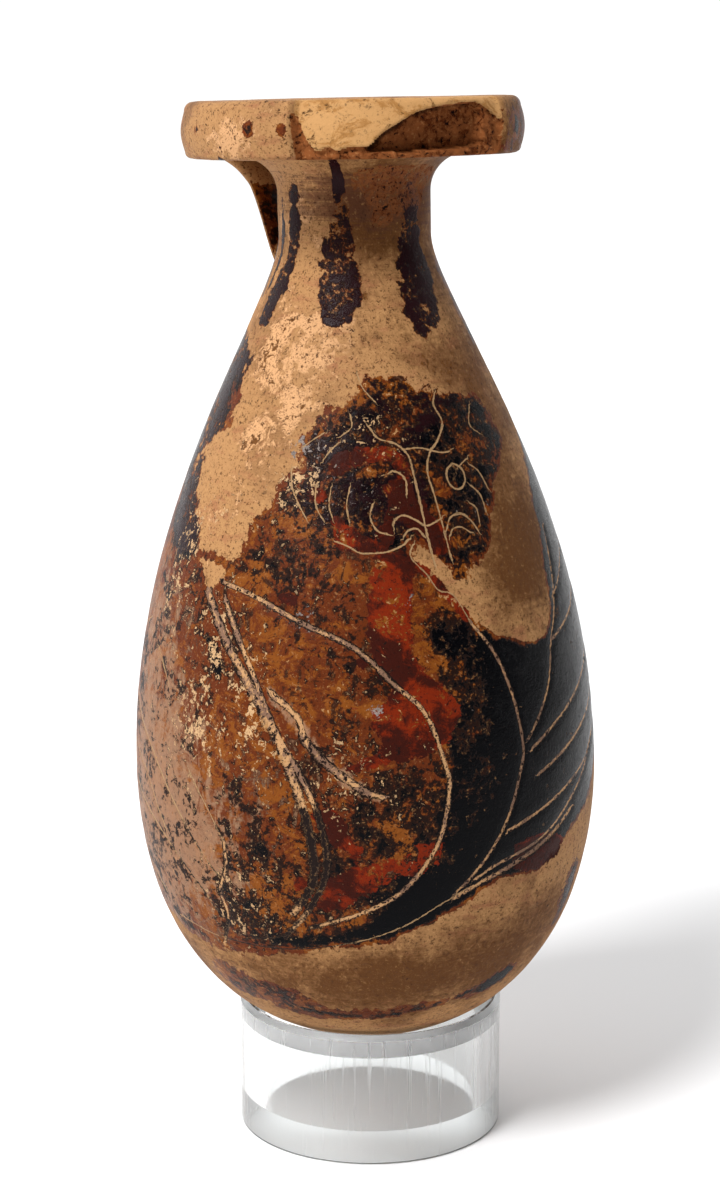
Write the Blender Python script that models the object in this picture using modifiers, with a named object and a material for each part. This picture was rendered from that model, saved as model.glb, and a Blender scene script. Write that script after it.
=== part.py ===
"""Greek perfume flask of fired clay, with a disc mouth and a small strap handle, in a clear ring.

The flask is an aryballos of the alabastron shape: a hollow pear with a round bottom, which cannot
stand alone and so rests, leaning slightly, in a ring of clear acrylic. All lengths are in metres.
The origin is on the table in the middle of the ring, +Z is up and -Y faces the viewer.
"""

import math

import bmesh
import bpy
from mathutils import Matrix, Vector

# Flask: overall size, heights measured up from its lowest point
FLASK_HEIGHT = 0.1775
BELLY_RADIUS = 0.0438
BELLY_HEIGHT = 0.0533
BODY_WALL = 0.0045
BASE_WALL = 0.006

# Disc mouth and neck
MOUTH_RADIUS = 0.0314
MOUTH_THICKNESS = 0.0103
MOUTH_BULGE = 0.0007
MOUTH_TOP_ROUND = 0.0018
MOUTH_UNDER_ROUND = 0.0012
MOUTH_DISH_DEPTH = 0.0012
NECK_RADIUS = 0.0141
NECK_LENGTH = 0.0141
NECK_FILLET = 0.0065
BORE_RADIUS = 0.0075
BORE_LIP_ROUND = 0.0015

# Fullness of the body's curves: 0 is a straight line and 1 a full corner
BASE_FLATNESS = 0.553
LOWER_BELLY_FULLNESS = 0.668
SHOULDER_FULLNESS = 0.509
NECK_SWEEP = 0.12

# Strap handle: a band with a lens-shaped section, behind the left side of the neck
HANDLE_AZIMUTH = math.radians(-125.0)
HANDLE_WIDTH = 0.0100
HANDLE_THICKNESS = 0.0030
HANDLE_ROOT_THICKNESS = 0.0046
HANDLE_REACH = 0.0275
HANDLE_DROP = 0.0205
HANDLE_ELBOW_OUT = 0.0044
HANDLE_ELBOW_DROP = 0.0014
HANDLE_RUN_DROP = 0.0112

# Broken front edge of the mouth, azimuths from the viewer's side towards the right
CHIP_START = math.radians(-20.5)
CHIP_END = math.radians(61.0)
CHIP_TOP_DEPTH = 0.0032
CHIP_UNDER_DEPTH = 0.0011
HOLLOW_START = math.radians(8.0)
HOLLOW_END = math.radians(50.0)
HOLLOW_DEPTH = 0.0058
HOLLOW_FLOOR = 0.0012
LIP_RISE_START = 0.0036
LIP_RISE_END = 0.0082

# How the flask sits
FLASK_LEAN = math.radians(1.14)
SEAT_OFFSET = 0.0008
SEAT_GAP = 0.0003

# Acrylic ring
RING_RADIUS = 0.0254
RING_HEIGHT = 0.0254
RING_WALL = 0.00476
RING_BEVEL_HEIGHT = 0.0054
RING_BEVEL_WIDTH = 0.0034
RING_EDGE_CHAMFER = 0.0009

# Fineness of the facets
FLASK_SEGMENTS = 48
RING_SEGMENTS = 64
CURVE_STEPS = 13
HANDLE_STEPS = 14
CHIP_STEPS = 10
MERGE_DISTANCE = 0.00001
CUT_MARGIN = 0.004
SMOOTH_ANGLE = math.radians(35.0)

CLAY = (0.46, 0.26, 0.13, 1.0)
ACRYLIC = (0.93, 0.95, 0.96, 0.35)


def clear_objects():
    """Empty the scene of whatever it starts with."""
    for item in list(bpy.data.objects):
        bpy.data.objects.remove(item, do_unlink=True)


def new_collection(name):
    """Link a fresh collection under the scene and return it."""
    collection = bpy.data.collections.new(name)
    bpy.context.scene.collection.children.link(collection)
    return collection


def principled(name, color, roughness, transmission=0.0):
    """Make a Principled material of one colour."""
    material = bpy.data.materials.new(name)
    material.use_nodes = True
    shader = material.node_tree.nodes["Principled BSDF"]
    shader.inputs["Base Color"].default_value = color
    shader.inputs["Roughness"].default_value = roughness
    shader.inputs["Transmission Weight"].default_value = transmission
    material.diffuse_color = color
    return material


def bezier(start, start_pull, end_pull, end, steps):
    """Points of a cubic curve, both ends included, as (radius, height) pairs."""
    points = []
    for step in range(steps + 1):
        t = step / steps
        weights = ((1 - t) ** 3, 3 * (1 - t) ** 2 * t, 3 * (1 - t) * t**2, t**3)
        corners = (start, start_pull, end_pull, end)
        points.append(tuple(sum(w * c[i] for w, c in zip(weights, corners)) for i in range(2)))
    return points


def arc(centre, radius, start, end, steps):
    """Points of a circular arc between two angles, as (radius, height) pairs."""
    points = []
    for step in range(steps + 1):
        angle = start + (end - start) * step / steps
        points.append((centre[0] + radius * math.cos(angle), centre[1] + radius * math.sin(angle)))
    return points


def mouth_underside():
    """Height of the disc mouth's underside."""
    return FLASK_HEIGHT - MOUTH_THICKNESS


def neck_start():
    """Height where the shoulder has become the straight neck."""
    return mouth_underside() - NECK_LENGTH


def body_curve(belly, floor, top_radius, top):
    """Pear-shaped outline from the axis at the bottom up to the neck."""
    below = BELLY_HEIGHT - floor
    above = top - BELLY_HEIGHT
    lower = bezier(
        (0.0, floor),
        (belly * BASE_FLATNESS, floor),
        (belly, BELLY_HEIGHT - below * LOWER_BELLY_FULLNESS),
        (belly, BELLY_HEIGHT),
        CURVE_STEPS,
    )
    upper = bezier(
        (belly, BELLY_HEIGHT),
        (belly, BELLY_HEIGHT + above * SHOULDER_FULLNESS),
        (top_radius, top - above * NECK_SWEEP),
        (top_radius, top),
        CURVE_STEPS,
    )
    return lower + upper[1:]


def mouth_curve():
    """Outline of the disc mouth, from the neck below it over its edge to the bore."""
    under = mouth_underside()
    fillet = [
        (NECK_RADIUS + NECK_FILLET - x, z)
        for x, z in arc((0.0, under - NECK_FILLET), NECK_FILLET, 0.0, math.pi / 2, 5)
    ]
    edge = MOUTH_RADIUS - MOUTH_BULGE
    lower_corner = arc(
        (edge - MOUTH_UNDER_ROUND, under + MOUTH_UNDER_ROUND), MOUTH_UNDER_ROUND, -math.pi / 2, 0.0, 3
    )
    low, high = under + MOUTH_UNDER_ROUND, FLASK_HEIGHT - MOUTH_TOP_ROUND
    face = [
        (edge + MOUTH_BULGE * math.sin(math.pi * step / 4), low + (high - low) * step / 4)
        for step in range(1, 4)
    ]
    upper_corner = arc((edge - MOUTH_TOP_ROUND, high), MOUTH_TOP_ROUND, 0.0, math.pi / 2, 4)
    lip_top = FLASK_HEIGHT - MOUTH_DISH_DEPTH
    lip = [
        (BORE_RADIUS + BORE_LIP_ROUND - x, z)
        for x, z in arc((0.0, lip_top - BORE_LIP_ROUND), BORE_LIP_ROUND, math.pi / 2, 0.0, 3)
    ]
    return fillet + lower_corner + face + upper_corner + lip


def outer_curve():
    """Outer outline from the bottom's middle up to the neck's straight part."""
    return body_curve(BELLY_RADIUS, 0.0, NECK_RADIUS, neck_start())


def flask_section():
    """Whole section of the wall: up the inside, over the mouth and down the outside."""
    inner = body_curve(BELLY_RADIUS - BODY_WALL, BASE_WALL, BORE_RADIUS, neck_start())
    outside = outer_curve() + mouth_curve()
    return inner + outside[::-1]


def height_on_curve(curve, radius):
    """Height of a rising outline where it reaches the given radius."""
    for (r0, z0), (r1, z1) in zip(curve, curve[1:]):
        if r0 <= radius <= r1:
            return z0 + (z1 - z0) * (radius - r0) / (r1 - r0)
    return curve[-1][1]


def seat_radius():
    """Radius of the ring's inner edge at its top, which carries the flask."""
    return RING_RADIUS - RING_WALL + RING_BEVEL_WIDTH


def seat_lift():
    """Height of the flask's lowest point, so that it clears the ring all round by the gap."""
    curve = body_curve(BELLY_RADIUS, 0.0, NECK_RADIUS, neck_start())[: CURVE_STEPS + 1]
    lift = 0.0
    for step in range(CURVE_STEPS + 1):
        share = step / CURVE_STEPS
        radius = seat_radius() - RING_BEVEL_WIDTH * share - SEAT_OFFSET
        edge = RING_HEIGHT - RING_BEVEL_HEIGHT * share
        lift = max(lift, edge - height_on_curve(curve, radius))
    return lift + SEAT_GAP


def seat_centre():
    """Height on the flask's axis where the lines square to its wall at the seat meet."""
    curve = outer_curve()
    radius = seat_radius()
    low = height_on_curve(curve, radius * 0.95)
    high = height_on_curve(curve, radius * 1.05)
    slope = (high - low) / (radius * 0.1)
    return height_on_curve(curve, radius) + radius / slope


def turned(name, section, segments, closed, collection):
    """Turn a (radius, height) outline about Z with a Screw modifier."""
    mesh = bpy.data.meshes.new(name)
    bm = bmesh.new()
    points = [bm.verts.new((radius, 0.0, height)) for radius, height in section]
    for first, second in zip(points, points[1:]):
        bm.edges.new((first, second))
    if closed:
        bm.edges.new((points[-1], points[0]))
    bm.to_mesh(mesh)
    bm.free()
    item = bpy.data.objects.new(name, mesh)
    collection.objects.link(item)
    screw = item.modifiers.new("Turn", "SCREW")
    screw.axis = "Z"
    screw.angle = 2 * math.pi
    screw.steps = segments
    screw.render_steps = segments
    screw.use_merge_vertices = True
    screw.merge_threshold = MERGE_DISTANCE
    screw.use_smooth_shade = True
    return item


def as_cutter(item):
    """Show a helper solid as wire only and keep it out of the model."""
    item.hide_render = True
    item.display_type = "WIRE"


def combine(item, helper, operation):
    """Add a live Boolean of another object."""
    boolean = item.modifiers.new(helper.name, "BOOLEAN")
    boolean.operation = operation
    boolean.solver = "EXACT"
    boolean.object = helper


def swept_block(name, start, end, section, collection):
    """Closed block whose (radius, height) section runs round the axis between two azimuths."""
    bm = bmesh.new()
    rows = []
    for step in range(CHIP_STEPS + 1):
        share = step / CHIP_STEPS
        azimuth = start + (end - start) * share
        row = [
            bm.verts.new((radius * math.sin(azimuth), -radius * math.cos(azimuth), height))
            for radius, height in section(share)
        ]
        rows.append(row)
    corners = len(rows[0])
    for first, second in zip(rows, rows[1:]):
        for corner in range(corners):
            after = (corner + 1) % corners
            bm.faces.new((first[corner], first[after], second[after], second[corner]))
    bm.faces.new(rows[0])
    bm.faces.new(rows[-1])
    bmesh.ops.recalc_face_normals(bm, faces=bm.faces)
    mesh = bpy.data.meshes.new(name)
    bm.to_mesh(mesh)
    bm.free()
    block = bpy.data.objects.new(name, mesh)
    collection.objects.link(block)
    as_cutter(block)
    return block


def chip_section(share):
    """Wedge that takes the mouth's front edge off, deeper at the top and shallower at the right."""
    fade = 1.0 - 0.55 * share**2
    top = FLASK_HEIGHT + CUT_MARGIN
    under = mouth_underside() - CUT_MARGIN
    outer = MOUTH_RADIUS + CUT_MARGIN
    return (
        (MOUTH_RADIUS - CHIP_TOP_DEPTH * fade, top),
        (MOUTH_RADIUS - CHIP_UNDER_DEPTH * fade, under),
        (outer, under),
        (outer, top),
    )


def hollow_section(share):
    """Deeper hollow below the rising lip of the break."""
    floor = mouth_underside() + HOLLOW_FLOOR
    rise = LIP_RISE_START + (LIP_RISE_END - LIP_RISE_START) * math.sqrt(share)
    roof = mouth_underside() + rise
    depth = HOLLOW_DEPTH * (0.7 + 0.3 * math.sin(math.pi * share))
    outer = MOUTH_RADIUS + CUT_MARGIN
    return (
        (MOUTH_RADIUS - depth, roof - MOUTH_BULGE),
        (MOUTH_RADIUS - depth, floor),
        (outer, floor),
        (outer, roof),
    )


def handle_band(collection):
    """Strap from the mouth's underside down to the neck, as a swept band of lens section."""
    under = mouth_underside()
    path = bezier(
        (HANDLE_REACH, under + HANDLE_ELBOW_DROP),
        (NECK_RADIUS + HANDLE_ELBOW_OUT, under - HANDLE_ELBOW_DROP),
        (NECK_RADIUS + HANDLE_ELBOW_OUT, under - HANDLE_RUN_DROP),
        (NECK_RADIUS, under - HANDLE_DROP),
        HANDLE_STEPS,
    )
    curve = bpy.data.curves.new("handle_path", "CURVE")
    curve.dimensions = "3D"
    curve.bevel_depth = HANDLE_THICKNESS / 2
    curve.bevel_resolution = 4
    curve.use_fill_caps = True
    line = curve.splines.new("POLY")
    line.points.add(len(path) - 1)
    growth = HANDLE_ROOT_THICKNESS / HANDLE_THICKNESS - 1.0
    for index, (radius, height) in enumerate(path):
        line.points[index].co = (radius, 0.0, height, 1.0)
        line.points[index].radius = 1.0 + growth * max(0.0, 1.0 - 2.5 * index / HANDLE_STEPS)
        line.points[index].tilt = 0.0
    swept = bpy.data.objects.new("handle_path", curve)
    collection.objects.link(swept)
    bpy.context.view_layer.update()
    graph = bpy.context.evaluated_depsgraph_get()
    mesh = bpy.data.meshes.new_from_object(swept.evaluated_get(graph))
    mesh.name = "handle"
    bpy.data.objects.remove(swept, do_unlink=True)
    bm = bmesh.new()
    bm.from_mesh(mesh)
    bmesh.ops.remove_doubles(bm, verts=bm.verts, dist=MERGE_DISTANCE)
    widen = Matrix.Diagonal(Vector((1.0, HANDLE_WIDTH / HANDLE_THICKNESS, 1.0, 1.0)))
    turn = Matrix.Rotation(HANDLE_AZIMUTH - math.pi / 2, 4, "Z")
    bmesh.ops.transform(bm, matrix=turn @ widen, verts=bm.verts)
    bmesh.ops.recalc_face_normals(bm, faces=bm.faces)
    bm.to_mesh(mesh)
    bm.free()
    handle = bpy.data.objects.new("handle", mesh)
    collection.objects.link(handle)
    as_cutter(handle)
    return handle


def build_flask(parts, helpers):
    """Flask: turned body and mouth, joined strap, broken front edge."""
    flask = turned("flask", flask_section(), FLASK_SEGMENTS, False, parts)
    flask.data.materials.append(principled("fired_clay", CLAY, 0.55))
    handle = handle_band(helpers)
    chip = swept_block("chip_cut", CHIP_START, CHIP_END, chip_section, helpers)
    hollow = swept_block("hollow_cut", HOLLOW_START, HOLLOW_END, hollow_section, helpers)
    for helper in (handle, chip, hollow):
        helper.parent = flask
    combine(flask, handle, "UNION")
    combine(flask, chip, "DIFFERENCE")
    combine(flask, hollow, "DIFFERENCE")
    pivot = seat_centre()
    flask.rotation_euler = (0.0, -FLASK_LEAN, 0.0)
    flask.location = (
        pivot * math.sin(FLASK_LEAN) - SEAT_OFFSET,
        0.0,
        seat_lift() + pivot * (1.0 - math.cos(FLASK_LEAN)),
    )
    return flask


def build_ring(parts):
    """Clear ring with a wide bevel inside each end and a fine chamfer round its upper edge."""
    bore = RING_RADIUS - RING_WALL
    section = (
        (RING_RADIUS - RING_EDGE_CHAMFER, RING_HEIGHT),
        (RING_RADIUS, RING_HEIGHT - RING_EDGE_CHAMFER),
        (RING_RADIUS, 0.0),
        (bore + RING_BEVEL_WIDTH, 0.0),
        (bore, RING_BEVEL_HEIGHT),
        (bore, RING_HEIGHT - RING_BEVEL_HEIGHT),
        (bore + RING_BEVEL_WIDTH, RING_HEIGHT),
    )
    ring = turned("acrylic_ring", section, RING_SEGMENTS, True, parts)
    ring.data.materials.append(principled("clear_acrylic", ACRYLIC, 0.05, 1.0))
    return ring


def main():
    clear_objects()
    parts = new_collection("aryballos")
    helpers = new_collection("helpers")
    flask = build_flask(parts, helpers)
    ring = build_ring(parts)
    for item in (flask, ring):
        item.data.set_sharp_from_angle(angle=SMOOTH_ANGLE)


main()
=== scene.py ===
"""Greek perfume flask of painted fired clay, resting in a clear acrylic ring.

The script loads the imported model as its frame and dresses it: a finely meshed flask, whose paint,
scored lines, flaking and broken rim follow a plan drawn on its surface, and a polished ring.
Lengths are in metres unless a name says mm. The plan gives each point as an azimuth in degrees,
from the viewer's side towards the right, and a height in mm above the flask's lowest point.
"""

import logging
import math
from dataclasses import dataclass
from enum import Enum
from typing import Sequence

import bmesh
import bpy
import numpy as np
from mathutils import Matrix, Vector, noise


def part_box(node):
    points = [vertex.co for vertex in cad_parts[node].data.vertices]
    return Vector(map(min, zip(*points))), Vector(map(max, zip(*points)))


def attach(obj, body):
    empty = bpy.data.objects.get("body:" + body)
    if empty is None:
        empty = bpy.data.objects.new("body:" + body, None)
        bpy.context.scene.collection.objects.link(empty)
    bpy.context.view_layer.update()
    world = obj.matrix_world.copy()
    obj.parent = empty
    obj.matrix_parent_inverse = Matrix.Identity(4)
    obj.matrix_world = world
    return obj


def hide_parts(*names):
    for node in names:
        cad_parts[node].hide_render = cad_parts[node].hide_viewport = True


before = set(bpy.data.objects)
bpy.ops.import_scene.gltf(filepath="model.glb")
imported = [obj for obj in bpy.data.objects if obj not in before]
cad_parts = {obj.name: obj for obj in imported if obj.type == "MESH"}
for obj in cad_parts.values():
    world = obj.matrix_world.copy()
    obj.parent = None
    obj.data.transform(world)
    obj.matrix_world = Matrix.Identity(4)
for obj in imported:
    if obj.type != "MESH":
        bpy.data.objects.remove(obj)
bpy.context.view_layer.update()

LOG = logging.getLogger("aryballos")
MM = 0.001
WELD = 0.00001  # Points closer than this become one
Point = tuple[float, float]
Plan = Sequence[Point]
Colour = tuple[float, float, float, float]


def srgb(code: str) -> Colour:
    """Turn an sRGB hex value into a linear colour.

    Args:
        code: Colour such as "#C89A62".

    Returns:
        Linear red, green, blue and full alpha.
    """
    parts = [int(code[start : start + 2], 16) / 255 for start in (1, 3, 5)]
    linear = [c / 12.92 if c <= 0.04045 else ((c + 0.055) / 1.055) ** 2.4 for c in parts]
    return (*linear, 1.0)


def add(tree: bpy.types.NodeTree, kind: str, inputs: dict | None = None, **settings) -> bpy.types.Node:
    """Add a node with its settings and fill its sockets.

    Args:
        tree: Shader or geometry tree that takes the node.
        kind: Blender's name of the node's type.
        inputs: Socket name or number, with a value or with the output socket that feeds it.
        **settings: Properties of the node.

    Returns:
        The new node.
    """
    made = tree.nodes.new(kind)
    for name, value in settings.items():
        setattr(made, name, value)
    for key, value in (inputs or {}).items():
        if isinstance(value, bpy.types.NodeSocket):
            tree.links.new(value, made.inputs[key])
        else:
            made.inputs[key].default_value = value
    return made


def shown(name: str, data: bpy.types.ID) -> bpy.types.Object:
    """Put data into the scene as an object at the origin.

    Args:
        name: Name of the object.
        data: Its mesh, light or camera.

    Returns:
        The object.
    """
    made = bpy.data.objects.new(name, data)
    bpy.context.scene.collection.objects.link(made)
    return made


# Geometry Nodes: turned forms and the strap


def tree_with_inputs(name: str, sockets: dict[str, str]) -> bpy.types.NodeTree:
    """Start a geometry tree with named inputs.

    Args:
        name: Name of the tree.
        sockets: Input names and their socket types.

    Returns:
        The tree, with Geometry in and out.
    """
    tree = bpy.data.node_groups.new(name, "GeometryNodeTree")
    tree.interface.new_socket("Geometry", in_out="INPUT", socket_type="NodeSocketGeometry")
    tree.interface.new_socket("Geometry", in_out="OUTPUT", socket_type="NodeSocketGeometry")
    for label, kind in sockets.items():
        tree.interface.new_socket(label, in_out="INPUT", socket_type=kind)
    return tree


def close_tree(
    tree: bpy.types.NodeTree, form: bpy.types.NodeSocket, material: bpy.types.NodeSocket
) -> None:
    """End a tree: weld the form's seams, make it real, give it its material.

    Args:
        tree: The tree.
        form: Socket that brings the finished form.
        material: Socket that brings the material.
    """
    welded = add(tree, "GeometryNodeMergeByDistance", {"Geometry": form, "Distance": WELD})
    real = add(tree, "GeometryNodeRealizeInstances", {"Geometry": welded.outputs[0]})
    dressed = {"Geometry": real.outputs[0], "Material": material}
    clothed = add(tree, "GeometryNodeSetMaterial", dressed)
    add(tree, "NodeGroupOutput", {"Geometry": clothed.outputs[0]})


def run_tree(
    name: str,
    points: Plan,
    tree: bpy.types.NodeTree,
    values: dict[str, object],
    swell: Sequence[float] = (),
) -> bpy.types.Mesh:
    """Run a geometry tree on a row of (radius, height) points and return its plain mesh.

    Args:
        name: Name of the mesh.
        points: Section or path, as (radius, height) pairs.
        tree: Tree that makes the form.
        values: Tree inputs by name.
        swell: Thickness of each point of a path, as a factor, where the tree reads one.

    Returns:
        The mesh, with no modifier left on anything.
    """
    guide = bpy.data.meshes.new(name)
    edges = [(start, start + 1) for start in range(len(points) - 1)]
    guide.from_pydata([(radius, 0.0, height) for radius, height in points], edges, [])
    if swell:
        guide.attributes.new("swell", "FLOAT", "POINT").data.foreach_set("value", list(swell))
    holder = shown(name, guide)
    modifier = holder.modifiers.new(tree.name, "NODES")
    modifier.node_group = tree
    for socket in tree.interface.items_tree:
        if socket.item_type == "SOCKET" and socket.in_out == "INPUT" and socket.name in values:
            modifier[socket.identifier] = values[socket.name]
    graph = bpy.context.evaluated_depsgraph_get()
    mesh = bpy.data.meshes.new_from_object(holder.evaluated_get(graph))
    mesh.name = name
    bpy.data.objects.remove(holder, do_unlink=True)
    return mesh


def turning_tree() -> bpy.types.NodeTree:
    """Tree that turns a section about Z, with columns that may crowd towards one azimuth.

    Returns:
        The tree, with inputs Columns, Crowding, Facing and Material.
    """
    tree = tree_with_inputs(
        "turned_form",
        {
            "Columns": "NodeSocketInt",
            "Crowding": "NodeSocketFloat",
            "Facing": "NodeSocketFloat",
            "Material": "NodeSocketMaterial",
        },
    )
    source = add(tree, "NodeGroupInput")
    rows = add(tree, "GeometryNodeAttributeDomainSize", {"Geometry": source.outputs["Geometry"]})
    row_count = rows.outputs["Point Count"]
    seam = add(tree, "ShaderNodeMath", {0: source.outputs["Columns"], 1: 1.0}, operation="ADD")
    grid = add(tree, "GeometryNodeMeshGrid", {"Vertices X": seam.outputs[0], "Vertices Y": row_count})
    index = add(tree, "GeometryNodeInputIndex").outputs[0]
    row = add(tree, "ShaderNodeMath", {0: index, 1: row_count}, operation="MODULO")
    ratio = add(tree, "ShaderNodeMath", {0: index, 1: row_count}, operation="DIVIDE")
    column = add(tree, "ShaderNodeMath", {0: ratio.outputs[0]}, operation="FLOOR")
    spot = add(tree, "GeometryNodeInputPosition")
    sampled = add(
        tree,
        "GeometryNodeSampleIndex",
        {"Geometry": source.outputs["Geometry"], "Value": spot.outputs[0], "Index": row.outputs[0]},
        data_type="FLOAT_VECTOR",
    )
    section = add(tree, "ShaderNodeSeparateXYZ", {0: sampled.outputs[0]})
    values: dict[object, bpy.types.NodeSocket] = {
        "column": column.outputs[0],
        "radius": section.outputs[0],
        **{name: source.outputs[name] for name in ("Columns", "Crowding", "Facing")},
    }
    for made, operation, *numbers in (
        ("share", "DIVIDE", "column", "Columns"),
        ("even", "MULTIPLY_ADD", "share", 2 * math.pi, -math.pi),
        ("wave", "SINE", "even"),
        ("pull", "MULTIPLY", "wave", "Crowding"),
        ("crowded", "SUBTRACT", "even", "pull"),
        ("azimuth", "ADD", "crowded", "Facing"),
        ("sine", "SINE", "azimuth"),
        ("cosine", "COSINE", "azimuth"),
        ("across", "MULTIPLY", "radius", "sine"),
        ("along", "MULTIPLY", "radius", "cosine"),
        ("back", "MULTIPLY", "along", -1.0),
    ):
        inputs = {place: values.get(number, number) for place, number in enumerate(numbers)}
        values[made] = add(tree, "ShaderNodeMath", inputs, operation=operation).outputs[0]
    corner = {0: values["across"], 1: values["back"], 2: section.outputs[2]}
    position = add(tree, "ShaderNodeCombineXYZ", corner)
    placed = {"Geometry": grid.outputs["Mesh"], "Position": position.outputs[0]}
    turned = add(tree, "GeometryNodeSetPosition", placed)
    smooth = add(tree, "GeometryNodeSetShadeSmooth", {"Geometry": turned.outputs[0]})
    close_tree(tree, smooth.outputs[0], source.outputs["Material"])
    return tree


def strap_tree() -> bpy.types.NodeTree:
    """Tree that sweeps a lens-shaped band along a path in the XZ plane.

    Returns:
        The tree, with inputs Width, Thickness, Sides, Spacing and Material.
    """
    tree = tree_with_inputs(
        "strap_band",
        {
            "Width": "NodeSocketFloat",
            "Thickness": "NodeSocketFloat",
            "Sides": "NodeSocketInt",
            "Spacing": "NodeSocketFloat",
            "Material": "NodeSocketMaterial",
        },
    )
    source = add(tree, "NodeGroupInput")
    path = add(tree, "GeometryNodeMeshToCurve", {"Mesh": source.outputs["Geometry"]})
    even = add(
        tree,
        "GeometryNodeResampleCurve",
        {"Curve": path.outputs[0], "Length": source.outputs["Spacing"]},
        mode="LENGTH",
    )
    swell = add(tree, "GeometryNodeInputNamedAttribute", {"Name": "swell"}, data_type="FLOAT")
    half = add(tree, "ShaderNodeMath", {0: source.outputs["Thickness"], 1: 0.5}, operation="MULTIPLY")
    ring = add(
        tree,
        "GeometryNodeCurvePrimitiveCircle",
        {"Resolution": source.outputs["Sides"], "Radius": half.outputs[0]},
    )
    sweep = {
        "Curve": even.outputs[0],
        "Profile Curve": ring.outputs[0],
        "Scale": swell.outputs[0],
        "Fill Caps": True,
    }
    band = add(tree, "GeometryNodeCurveToMesh", sweep)
    sides = {0: source.outputs["Width"], 1: source.outputs["Thickness"]}
    widening = add(tree, "ShaderNodeMath", sides, operation="DIVIDE")
    scale = add(tree, "ShaderNodeCombineXYZ", {0: 1.0, 1: widening.outputs[0], 2: 1.0})
    wide = add(tree, "GeometryNodeTransform", {"Geometry": band.outputs[0], "Scale": scale.outputs[0]})
    close_tree(tree, wide.outputs[0], source.outputs["Material"])
    return tree


# Outlines


def bezier(start: Point, start_pull: Point, end_pull: Point, end: Point, steps: int) -> list[Point]:
    """Points of a cubic curve, both ends included.

    Args:
        start: First point, as a (radius, height) pair.
        start_pull: Control point near the start.
        end_pull: Control point near the end.
        end: Last point.
        steps: Number of stretches.

    Returns:
        List of (radius, height) pairs.
    """
    points = []
    for step in range(steps + 1):
        t = step / steps
        weights = ((1 - t) ** 3, 3 * (1 - t) ** 2 * t, 3 * (1 - t) * t**2, t**3)
        corners = (start, start_pull, end_pull, end)
        points.append(tuple(sum(w * c[axis] for w, c in zip(weights, corners)) for axis in range(2)))
    return points


def arc(centre: Point, radius: float, start: float, end: float, steps: int) -> list[Point]:
    """Points of a circular arc between two angles.

    Args:
        centre: Centre, as a (radius, height) pair.
        radius: Radius of the arc.
        start: First angle in radians, from the outward direction upwards.
        end: Last angle in radians.
        steps: Number of stretches.

    Returns:
        List of (radius, height) pairs.
    """
    angles = [start + (end - start) * step / steps for step in range(steps + 1)]
    return [(centre[0] + radius * math.cos(a), centre[1] + radius * math.sin(a)) for a in angles]


def spaced(points: Plan, gap: float) -> list[Point]:
    """Space a line's points evenly along it, both ends included.

    Args:
        points: Line, as pairs of numbers.
        gap: Largest distance between points.

    Returns:
        The same line with even points.
    """
    line = np.array(points, dtype=float)
    steps = np.hypot(*np.diff(line, axis=0).T)
    along = np.concatenate([[0.0], np.cumsum(steps)])
    count = max(1, math.ceil(along[-1] / gap))
    wanted = np.linspace(0.0, along[-1], count + 1)
    return list(zip(np.interp(wanted, along, line[:, 0]), np.interp(wanted, along, line[:, 1])))


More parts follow.
